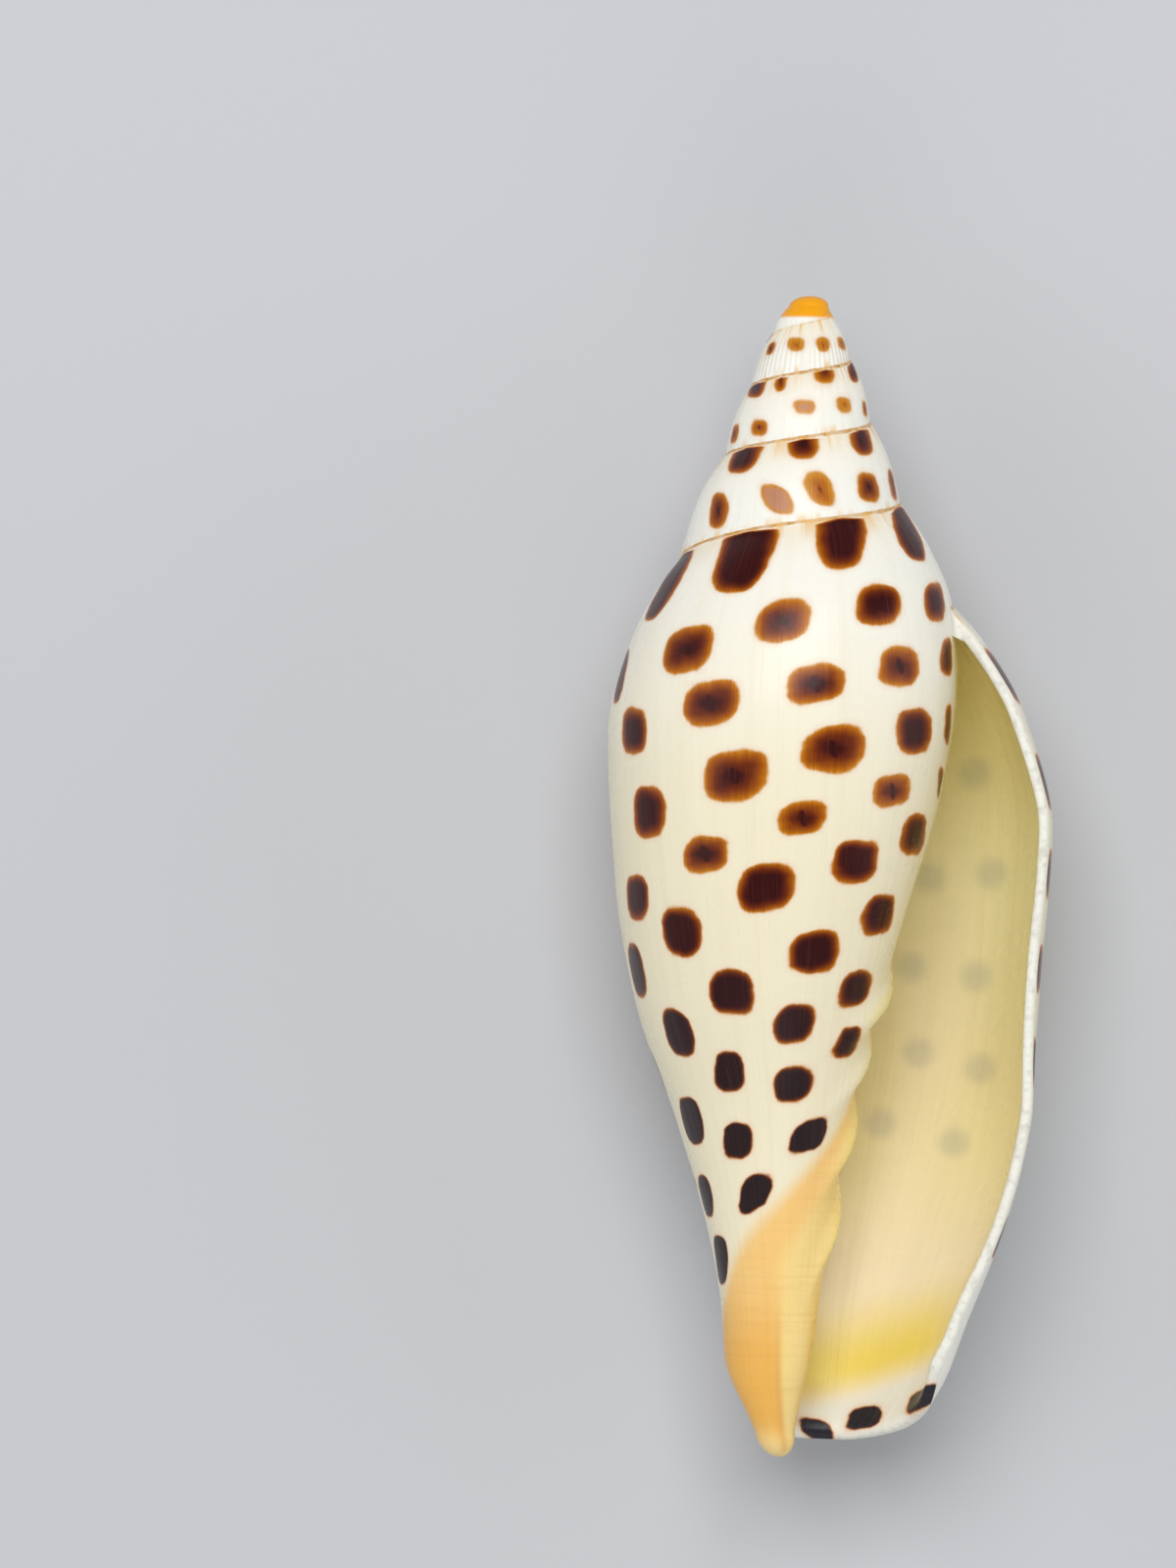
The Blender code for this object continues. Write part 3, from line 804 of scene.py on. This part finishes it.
# Callus and columella. The fades are in millimetres past the callus's edge, or turns past the
# columella's face
CALLUS_EDGE = (
    (-0.95, 68), (-0.867, 71.6), (-0.715, 77.6), (-0.62, 81), (-0.5, 86.5),
    (-0.4, 90.5), (-0.32, 93.0), (-0.25, 95.4), (-0.18, 97.9), (-0.12, 100),
)
CALLUS_TURN = -1.02
CALLUS_FADE = (-1.2, 1.6)
ARCS_FADE = (-0.5, 2.5)
CALLUS_DEEPENING = (84, 92)
TIP_PALING = (96.5, 100)
TIP_REACH = 4.0
TIP_SHARE = 0.6
COLUMELLA_TURNS = (-1.1, -0.5)
COLUMELLA_FACE = ((68, -0.93), (76, -0.86), (84, -0.71), (96, -0.70), (100, -0.72))
FACE_FADE = (-0.035, 0.045)
INNER_EDGE_FADE = (0.10, 0.26)
INNER_EDGE = (80, 92)
FIRST_FOLD = 50
# The folds' ridges: their pale yellow with a painted highlight over it
RIDGE_HEIGHTS = (0.35, 0.95)
RIDGE_YELLOW_AND_HIGHLIGHT_SHARE = 0.6
INNER_RIDGE_YELLOW_AND_HIGHLIGHT_SHARE = 0.5
LINE_WIDTH = 0.28
LINE_START = (84, 93)
LINE_END = 99.4
LINE_SHARE = 0.35

# Inside of the last wall. The band and the chalky foot are in millimetres above the lower rim
WALL_TINTS = ((SAND, (30, 50)), (CREAM, (50, 70)), (BUTTER, (72, 86)))
STREAK_TURN = -0.13
STREAK_WIDTH = 0.06
STREAK_START = (36, 60)
STREAK_SHARE = 0.6
BAND_CLIMB = 2.4
CLIMB_TURNS = (-0.25, -0.02)
BAND_FOOT = (1.4, 4.6)
BAND_HEAD = (4.6, 12.0)
BAND_TURNS = (-0.36, -0.2)
BAND_END_TURNS = (-0.06, 0.03)
BAND_END_LOSS = 0.6
BAND_SHARE = 0.85
CHALK_FOOT = (1.0, 3.0)
CHALK_TURNS = (-0.4, -0.3)
GOLDEN_START = (54, 63)
GOLDEN_SHARE = 0.8
LIP_TURNS = (LIP_TURN - 0.030, LIP_TURN - 0.012)


def outside_tints(turn, depth):
    """Ivory on the body, whiter on the spire and the lower back, stained below the suture."""
    base = mixed(PARCHMENT, WHITE, smooth(turn, *BACK_WHITENING_TURNS))
    colour = mixed(IVORY, base, smooth(depth, *BASE_WHITENING))
    colour = mixed(colour, WHITE, 1 - smooth(depth, *SPIRE_WHITENING))
    below = np.maximum(depth - whorl_top(turn), 0)
    stain = np.exp(-below / STAIN_REACH) * (turn > FIRST_STAINED_TURN)
    return mixed(colour, STAIN, STAIN_SHARE * stain)


def callus_tints(colour, turn, depth, radius, ridge_yellow_and_highlight):
    """The ground with the callus over it, the columella's golden face, its folds' pale yellow with a painted
    highlight along their ridges, and its amber line.
    """
    callus = smooth(depth - through(CALLUS_EDGE, turn), *CALLUS_FADE) * (turn > CALLUS_TURN)
    colour = mixed(colour, mixed(PEACH, AMBER_PEACH, smooth(depth, *CALLUS_DEEPENING)), callus)
    colour = mixed(colour, CREAM, TIP_SHARE * smooth(depth, *TIP_PALING) * (radius < TIP_REACH))
    past_face = through(COLUMELLA_FACE, depth) - turn
    before_body = turn < COLUMELLA_TURNS[1]
    face = smooth(past_face, *FACE_FADE) * (depth > COLUMELLA_FACE[0][0]) * before_body
    inner_edge = smooth(past_face, *INNER_EDGE_FADE) * smooth(depth, *INNER_EDGE)
    colour = mixed(colour, mixed(GOLD, DEEP_GOLD, inner_edge), face)
    # The folds' pale yellow, with a painted highlight along their ridges
    colour = mixed(colour, FOLD_YELLOW_AND_HIGHLIGHT, RIDGE_YELLOW_AND_HIGHLIGHT_SHARE * ridge_yellow_and_highlight)
    line = np.exp(-((past_face * TURN * radius / LINE_WIDTH) ** 2)) * smooth(depth, *LINE_START)
    return mixed(colour, AMBER_LINE, LINE_SHARE * line * (depth < LINE_END) * before_body)


def inside_tints(turn, depth, ridge_yellow_and_highlight):
    """Tan deep in the mouth, paler downwards, with a light streak, a yellow band and a chalky rim."""
    colour = TAN
    for tint, depths in WALL_TINTS:
        colour = mixed(colour, tint, smooth(depth, *depths))
    streak = np.exp(-(((turn - STREAK_TURN) / STREAK_WIDTH) ** 2)) * smooth(depth, *STREAK_START)
    colour = mixed(colour, BUTTER, STREAK_SHARE * streak)
    above_rim = end_depth(turn) - depth - BAND_CLIMB * smooth(turn, *CLIMB_TURNS)
    band = smooth(above_rim, *BAND_FOOT) * (1 - smooth(above_rim, *BAND_HEAD))
    band *= smooth(turn, *BAND_TURNS) * (1 - BAND_END_LOSS * smooth(turn, *BAND_END_TURNS))
    colour = mixed(colour, YELLOW, BAND_SHARE * band)
    foot = (1 - smooth(above_rim, *CHALK_FOOT)) * smooth(turn, *CHALK_TURNS)
    colour = mixed(colour, CHALK, foot)
    columella = (turn < COLUMELLA_TURNS[1]) * smooth(depth, *GOLDEN_START)
    colour = mixed(colour, GOLD, GOLDEN_SHARE * columella)
    # The folds' pale yellow, with a painted highlight along their ridges
    colour = mixed(colour, FOLD_YELLOW_AND_HIGHLIGHT, INNER_RIDGE_YELLOW_AND_HIGHLIGHT_SHARE * ridge_yellow_and_highlight)
    return mixed(colour, CHALK, smooth(turn, *LIP_TURNS))


def tints(skin):
    """The ground colour of every point, from the zones of the shell."""
    turn, depth = skin.turn, skin.depth()
    radius = np.hypot(skin.points[:, 0], skin.points[:, 2])
    first, last = COLUMELLA_TURNS
    on_columella = (depth > FIRST_FOLD) & (turn < last) & (turn > first)
    # Where the folds' ridges get their pale yellow and painted highlight
    ridge_yellow_and_highlight = smooth(folds(turn, depth), *RIDGE_HEIGHTS) * on_columella
    outer = callus_tints(outside_tints(turn, depth), turn, depth, radius, ridge_yellow_and_highlight)
    outer = mixed(outer, ORANGE, 1 - smooth(depth, *CAP_RIM))
    colour = mixed(outer, inside_tints(turn, depth, ridge_yellow_and_highlight), skin.layer == INSIDE)
    return mixed(colour, CHALK, skin.layer == EDGE)


def callus_share(skin):
    """How far a point lies within the callus, on the outside only."""
    within = smooth(skin.depth() - through(CALLUS_EDGE, skin.turn), *ARCS_FADE)
    return within * (skin.turn > CALLUS_TURN) * (skin.layer == OUTSIDE)


def riblets(skin):
    """Strength of the fine riblets on the whorl below the cap."""
    depth = skin.depth()
    return smooth(depth, *RIBLETS_START) * (1 - smooth(depth, *RIBLETS_END)) * (skin.layer == OUTSIDE)


def seams(skin):
    """Distance below the suture, or above the next one, in millimetres."""
    turn, depth = skin.turn, skin.depth()
    above = np.abs(depth - whorl_foot(turn)) + FAR * (turn > LIP_TURN - 1)
    distance = np.minimum(np.abs(depth - whorl_top(turn)), ABOVE_SUTURE * above)
    return np.where((skin.layer == OUTSIDE) & (turn > FIRST_TURN + 1), distance, FAR)


def outward_mesh(skin):
    """The surface as a mesh with its faces pointing out, and each corner's turn."""
    rested = skin.points - np.array((*BOX_MIDDLE, FLAT_DEPTH - BACK_RADIUS))
    rested[:, 2] = (rested[:, 2] + np.hypot(rested[:, 2], FLAT_EASE)) / 2
    faces, turns = [], []
    all_turns = np.concatenate(skin.face_turns).tolist()
    for corners, corner_turns in zip(np.concatenate(skin.faces).tolist(), all_turns):
        kept = [k for k in range(4) if corners[k] != corners[k - 1]]
        if len({corners[k] for k in kept}) > 2:
            faces.append([corners[k] for k in kept])
            turns.extend(corner_turns[k] for k in kept)
    data = bpy.data.meshes.new("shell_surface")
    data.from_pydata((rested * MM).tolist(), [], faces)
    data.attributes.new("turn", "FLOAT", "CORNER").data.foreach_set("value", turns)
    mesh = bmesh.new()
    mesh.from_mesh(data)
    bmesh.ops.recalc_face_normals(mesh, faces=mesh.faces)
    mesh.to_mesh(data)
    mesh.free()
    data.shade_smooth()
    return data


def set_values(data, name, values):
    """Keeps a number or a colour for every point."""
    kind, slot = "FLOAT", "value"
    if np.ndim(values) == 2:
        kind, slot = "FLOAT_COLOR", "color"
        values = np.concatenate((values, np.ones((len(values), 1))), axis=1)
    layer = data.attributes.new(name, kind, "POINT")
    layer.data.foreach_set(slot, np.ascontiguousarray(values, np.float32).ravel())


class Graph:
    """A material's nodes, added one by one with their inputs."""

    def __init__(self, material):
        material.use_nodes = True
        self.tree = material.node_tree
        self.shader = self.tree.nodes["Principled BSDF"]

    def put(self, socket, value):
        """Links another node's output to a socket, or sets its value."""
        if isinstance(value, bpy.types.NodeSocket):
            self.tree.links.new(value, socket)
        elif isinstance(value, tuple) and len(value) == 3:
            socket.default_value = (*value, 1.0)
        else:
            socket.default_value = value

    def add(self, kind, inputs=(), **settings):
        node = self.tree.nodes.new(kind)
        for name, value in settings.items():
            setattr(node, name, value)
        for key, value in dict(inputs).items():
            self.put(node.inputs[key], value)
        return node

    def value(self, name, output="Fac"):
        return self.add("ShaderNodeAttribute", attribute_name=name).outputs[output]

    def maths(self, operation, *values):
        return self.add("ShaderNodeMath", dict(enumerate(values)), operation=operation).outputs[0]

    def total(self, *values):
        return reduce(lambda first, other: self.maths("ADD", first, other), values)

    def product(self, *values):
        return reduce(lambda first, other: self.maths("MULTIPLY", first, other), values)

    def scaled(self, value, low, high):
        """A value of 0 to 1 made one of low to high."""
        return self.maths("MULTIPLY_ADD", value, high - low, low)

    def step(self, value, low, high):
        """0 at low, 1 at high, with an easy start and end. High may be the smaller of the two."""
        inputs = {"Value": value, "From Min": low, "From Max": high}
        return self.add("ShaderNodeMapRange", inputs, interpolation_type="SMOOTHSTEP").outputs["Result"]

    def noise(self, vector, scale, detail=2.0, rough=0.5):
        inputs = {"Vector": vector, "Scale": scale, "Detail": detail, "Roughness": rough}
        return self.add("ShaderNodeTexNoise", inputs).outputs["Fac"]

    def vector(self, x, y):
        return self.add("ShaderNodeCombineXYZ", {"X": x, "Y": y}).outputs["Vector"]

    def mix(self, share, low, high, blend="MIX"):
        inputs = {0: share, 6: low, 7: high}
        return self.add("ShaderNodeMix", data_type="RGBA", blend_type=blend, inputs=inputs).outputs[2]

    def ramp(self, value, stops):
        node = self.add("ShaderNodeValToRGB", {"Fac": value})
        elements = node.color_ramp.elements
        for k, (at, colour) in enumerate(stops):
            element = elements[k] if k < 2 else elements.new(at)
            element.position = at
            element.color = (*colour, 1.0)
        return node.outputs["Color"]


# Patterns that run round the shell go by its degrees. Down it, in metres, the growth lines are drawn
# out, and the callus's arcs are packed close
DEGREES = 360.0
GROWTH_DOWN = 60.0
ARCS_ROUND = 0.006
ARCS_DOWN = 1900.0
RIBLETS_IN_TURN = 54

# Layers of colour: the share of each at most, its linear colour, and where a pattern brings it in
GROWTH_LAYER = (0.24, (0.78, 0.70, 0.56), 0.52, 0.8)
SHADE_LAYER = (0.22, (0.93, 0.84, 0.70), 0.45, 0.75)
CLOUD_LAYER = (0.3, (0.97, 0.96, 0.93))
ARC_LAYER = (0.16, (0.74, 0.38, 0.11))
# Painted shade: the outer marks' shadows seen through the thin wall
WALL_SHADOW_LAYER = (0.30, (0.30, 0.35, 0.33))
CHIP_LAYER = (0.45, (0.50, 0.49, 0.42))
SUTURE_LAYER = (1.0, (0.58, 0.26, 0.016))
SMEAR_LAYER = (0.75, (0.84, 0.50, 0.14))
HALO_LAYER = (0.45, (0.88, 0.70, 0.56), -0.6, -0.05)
# Pale marks: partly real fading, partly a painted highlight
FADED_AND_HIGHLIGHT_LAYER = (0.85, (0.53, 0.25, 0.15))
STREAK_LAYER = (0.16, (0.42, 0.13, 0.06), 0.5, 0.8)
ARC_SPAN = (0.48, 0.72)
CHIP_SPAN = (0.45, 0.75)

# The suture's line and the stains beside it, in millimetres from it
CRUST_REACH = -0.3
SUTURE_LINE = (0.16, -0.04)
LINE_BREAKS = (0.35, 0.65)
LEAST_LINE = 0.6
SMEAR_REACH = (2.2, 0.0)
PATCH_SPAN = (0.48, 0.66)

# A mark's edge, in millimetres, and its colours from its rim to its core: how deep the rim is for
# each tone, as a share of the deepest, how dark cores turn to navy, and how pale marks lighten, partly by
# fading and partly by a painted highlight
WAVER = 0.45
FUZZ = 0.07
MARK_EDGE = (-0.16, 0.16)
DEEPEST_RIM = 7.0
RIM_SHARES = ((NAVY, 0.06), (PALE, 1.0), (DARK, 0.18), (BROWN, 0.30), (AMBER, 0.75))
RIM_UNEVENNESS = (0.3, 1.7)
RIM_STREAKS = 0.13
RIM_TO_CORE = (
    (0.0, (0.66, 0.30, 0.03)), (1.0, (0.038, 0.0030, 0.0030)), (0.12, (0.48, 0.145, 0.003)),
    (0.28, (0.31, 0.070, 0.002)), (0.52, (0.15, 0.022, 0.002)), (0.78, (0.072, 0.0070, 0.0028)),
)
NAVY_TONES = (0.22, 0.02)
NAVY_CORE = (0.0, 0.6)
NAVY_SHARE = 0.92
FRONT_NAVY = (0.022, 0.015, 0.017)
REAR_NAVY = (0.020, 0.024, 0.034)
FADED_AND_HIGHLIGHT_TONES = (0.72, 0.98)
FADED_AND_HIGHLIGHT_CORE = (0.05, 0.6)

# Glaze and relief
GLAZE_ROUGHNESS = (0.22, 0.34)
DULL_ROUGHNESS = 0.35
SHELL_IOR = 1.5
SPECULAR_LEVEL = 0.22
FINE_RELIEF = 0.6
BROAD_RELIEF = 2.0
RIBLET_RELIEF = 2.2
ARC_RELIEF = -0.35
CHIP_RELIEF = 2.5
RELIEF_STRENGTH = 0.25
RELIEF_HEIGHT = 0.15 * MM


class ShellGraph(Graph):
    """The nodes of the shell's finish, with the patterns that its layers share."""

    def __init__(self, material):
        super().__init__(material)
        self.at = self.add("ShaderNodeTexCoord").outputs["Object"]
        self.turn, self.dull = self.value("turn"), self.value("dull")
        down = self.add("ShaderNodeSeparateXYZ", {0: self.at}).outputs["Y"]
        degrees = self.product(self.turn, DEGREES)
        self.grown = self.vector(degrees, self.product(down, GROWTH_DOWN))
        self.fine = self.noise(self.grown, scale=1.3, detail=4.0, rough=0.6)
        self.broad = self.noise(self.grown, scale=0.16)
        self.chips = self.noise(self.at, scale=1500.0, detail=3.0)
        crossed = self.vector(self.product(degrees, ARCS_ROUND), self.product(down, ARCS_DOWN))
        arcs = self.step(self.noise(crossed, scale=1.0, detail=3.0), *ARC_SPAN)
        self.arcs = self.product(arcs, self.value("arcs"))

    def laid(self, colour, layer, pattern, blend="MIX"):
        """A colour with a layer over it, as strong as a pattern makes it."""
        share, over, *span = layer
        if span:
            pattern = self.step(pattern, *span)
        return self.mix(self.product(pattern, share), colour, over, blend)

    def ground(self):
        """The tint of each point, with growth lines, clouds, the callus's arcs, painted shadows of the marks
        through the wall, and chips.
        """
        colour = self.value("tint", "Color")
        colour = self.laid(colour, GROWTH_LAYER, self.fine, "MULTIPLY")
        colour = self.laid(colour, SHADE_LAYER, self.broad, "MULTIPLY")
        clouds = self.noise(self.at, scale=90.0, detail=3.0)
        colour = self.laid(colour, CLOUD_LAYER, clouds, "MULTIPLY")
        colour = self.laid(colour, ARC_LAYER, self.arcs)
        # Painted shade: blurred grey shadows of the outer marks, seen through the thin wall
        colour = self.laid(colour, WALL_SHADOW_LAYER, self.value("wall_shadow"))
        chalk = self.product(self.step(self.chips, *CHIP_SPAN), self.dull)
        return self.laid(colour, CHIP_LAYER, chalk)

    def with_suture(self, colour):
        """A thin amber line with a crust along the suture, and stained patches beside it."""
        seam = self.value("seam")
        crust = self.total(seam, self.product(self.noise(self.at, scale=900.0), CRUST_REACH))
        breaks = self.scaled(self.step(self.broad, *LINE_BREAKS), LEAST_LINE, 1.0)
        colour = self.laid(colour, SUTURE_LAYER, self.product(self.step(crust, *SUTURE_LINE), breaks))
        patches = self.step(self.noise(self.grown, scale=0.12, detail=3.0), *PATCH_SPAN)
        return self.laid(colour, SMEAR_LAYER, self.product(self.step(seam, *SMEAR_REACH), patches))

    def with_marks(self, colour):
        """The marks: a wavering edge, a pale halo, an amber rim and a dark core with streaks."""
        tone = self.value("tone")
        waver = self.scaled(self.noise(self.at, scale=420.0), -WAVER, WAVER)
        fuzz = self.scaled(self.noise(self.grown, scale=1.6, detail=3.0, rough=0.7), -FUZZ, FUZZ)
        edge = self.total(self.value("inward"), waver, fuzz)
        colour = self.laid(colour, HALO_LAYER, edge)
        rim = self.ramp(tone, [(at, (share, share, share)) for at, share in RIM_SHARES])
        uneven = self.scaled(self.noise(self.at, scale=170.0), *RIM_UNEVENNESS)
        within = self.maths("DIVIDE", edge, self.product(rim, uneven, DEEPEST_RIM))
        within = self.total(within, self.scaled(self.fine, -RIM_STREAKS, RIM_STREAKS))
        stain = self.ramp(within, RIM_TO_CORE)
        navy = self.product(self.step(tone, *NAVY_TONES), self.step(within, *NAVY_CORE), NAVY_SHARE)
        stain = self.mix(navy, stain, self.mix(self.value("rear"), FRONT_NAVY, REAR_NAVY))
        # Pale marks lighten: partly real fading, partly a painted highlight of the glaze
        faded_and_highlight = self.product(self.step(tone, *FADED_AND_HIGHLIGHT_TONES), self.step(edge, *FADED_AND_HIGHLIGHT_CORE))
        stain = self.laid(stain, FADED_AND_HIGHLIGHT_LAYER, faded_and_highlight)
        stain = self.laid(stain, STREAK_LAYER, self.fine)
        return self.mix(self.step(edge, *MARK_EDGE), colour, stain)

    def roughness(self):
        """Glossy over most of the shell, dull and chalky at the broken edges."""
        scratches = self.noise(self.at, scale=260.0, detail=3.0)
        glaze = self.scaled(scratches, *GLAZE_ROUGHNESS)
        return self.total(self.product(self.dull, DULL_ROUGHNESS), glaze)

    def relief(self):
        """Growth lines, riblets below the cap, the callus's arcs and the chips of the edges."""
        wave = self.maths("SINE", self.product(self.turn, TURN * RIBLETS_IN_TURN))
        height = self.total(
            self.product(self.fine, FINE_RELIEF),
            self.product(self.broad, BROAD_RELIEF),
            self.product(wave, self.value("ribs"), RIBLET_RELIEF),
            self.product(self.arcs, ARC_RELIEF),
            self.product(self.chips, self.dull, CHIP_RELIEF),
        )
        inputs = {"Height": height, "Strength": RELIEF_STRENGTH, "Distance": RELIEF_HEIGHT}
        return self.add("ShaderNodeBump", inputs).outputs["Normal"]


def shell_material():
    material = bpy.data.materials.new("glazed_shell_finish")
    graph = ShellGraph(material)
    inputs = graph.shader.inputs
    graph.put(inputs["Base Color"], graph.with_marks(graph.with_suture(graph.ground())))
    graph.put(inputs["Roughness"], graph.roughness())
    graph.put(inputs["Normal"], graph.relief())
    inputs["IOR"].default_value = SHELL_IOR
    inputs["Specular IOR Level"].default_value = SPECULAR_LEVEL
    return material


def make_shell():
    skin = shell_surface()
    data = outward_mesh(skin)
    normals = np.empty(len(data.vertices) * 3, np.float32)
    data.vertex_normals.foreach_get("vector", normals)
    marks = marking(skin, normals.reshape(-1, 3))
    # The blurred grey marks inside the aperture are painted shade, the outer marks' shadows seen through the
    # thin wall
    values = {
        "inward": np.clip(marks.distance, -FAR, FAR), "tone": marks.tone, "wall_shadow": painted_wall_shadows(skin),
        "seam": seams(skin), "arcs": callus_share(skin), "ribs": riblets(skin),
        "rear": smooth(skin.turn, *REAR_TURNS), "dull": skin.layer == EDGE, "tint": tints(skin),
    }
    for name, kept in values.items():
        set_values(data, name, kept)
    data.materials.append(shell_material())
    shell = bpy.data.objects.new("glazed_shell", data)
    bpy.context.scene.collection.objects.link(shell)
    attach(shell, "root")
    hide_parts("shell")


# Photograph and camera: pixels, millimetres of sensor, and metres that the camera sees
PHOTO_WIDTH, PHOTO_HEIGHT = 1200, 1600
SENSOR = 36.0
CAMERA_REACH = 10.0

# Floor: side in metres, roughness, mottling to a metre, and its two linear colours
FLOOR_SIDE = 6.0
FLOOR_ROUGHNESS = 0.9
FLOOR_MOTTLING = 6.0
FLOOR = (0.56, 0.57, 0.59)
FLOOR_LIGHT = (0.59, 0.60, 0.62)

# Square softboxes: name, place and side in metres, and power in watts
SOFTBOXES = (
    ("softbox", (-0.04, 0.34, 0.80), 0.55, 5.2),
    ("right_fill", (0.85, 0.05, 0.30), 0.7, 2.0),
    ("left_fill", (-0.75, 0.05, 0.45), 0.7, 1.5),
    ("low_fill", (0.0, -0.75, 0.45), 0.6, 1.6),
)
STUDIO_COLOUR = (0.95, 0.97, 1.0, 1.0)
STUDIO_LIGHT = 0.22


def make_camera():
    """Looks straight down on the aperture, with the shell where the photograph has its front."""
    data = bpy.data.cameras.new("camera")
    data.sensor_width = SENSOR
    data.lens = SENSOR * CAMERA_HEIGHT / (PHOTO_HEIGHT / FRONT_SCALE)
    data.clip_end = CAMERA_REACH
    camera = bpy.data.objects.new("camera", data)
    across, down = FRONT_APEX
    apex_off = Vector((across - PHOTO_WIDTH / 2, PHOTO_HEIGHT / 2 - down)) / FRONT_SCALE
    turned = Matrix.Rotation(-FRONT_LEAN, 2) @ apex_off
    x, y, z = AXIS_PLACE
    camera.location = Vector((x - turned.x, y - turned.y, z + CAMERA_HEIGHT)) * MM
    camera.rotation_euler = (0, 0, -FRONT_LEAN)
    bpy.context.scene.collection.objects.link(camera)
    bpy.context.scene.camera = camera


def make_floor():
    """A plain pale floor with the faintest mottling."""
    material = bpy.data.materials.new("floor_paper")
    graph = Graph(material)
    cloud = graph.noise(graph.add("ShaderNodeTexCoord").outputs["Object"], FLOOR_MOTTLING)
    graph.put(graph.shader.inputs["Base Color"], graph.mix(cloud, FLOOR, FLOOR_LIGHT))
    graph.shader.inputs["Roughness"].default_value = FLOOR_ROUGHNESS
    bpy.ops.mesh.primitive_plane_add(size=FLOOR_SIDE)
    floor = bpy.context.object
    floor.name = "floor"
    floor.data.materials.append(material)


def make_light():
    """Softboxes that face the middle of the shell, in a dim pale studio."""
    scene = bpy.context.scene
    for name, location, side, power in SOFTBOXES:
        data = bpy.data.lights.new(name, "AREA")
        data.size = side
        data.energy = power
        light = bpy.data.objects.new(name, data)
        light.location = location
        light.rotation_euler = (-Vector(location)).to_track_quat("-Z", "Y").to_euler()
        light.visible_camera = False
        scene.collection.objects.link(light)
    world = bpy.data.worlds.new("studio")
    world.use_nodes = True
    background = world.node_tree.nodes["Background"].inputs
    background["Color"].default_value = STUDIO_COLOUR
    background["Strength"].default_value = STUDIO_LIGHT
    scene.world = world
    scene.view_settings.view_transform = "Standard"


make_camera()
make_shell()
make_floor()
make_light()
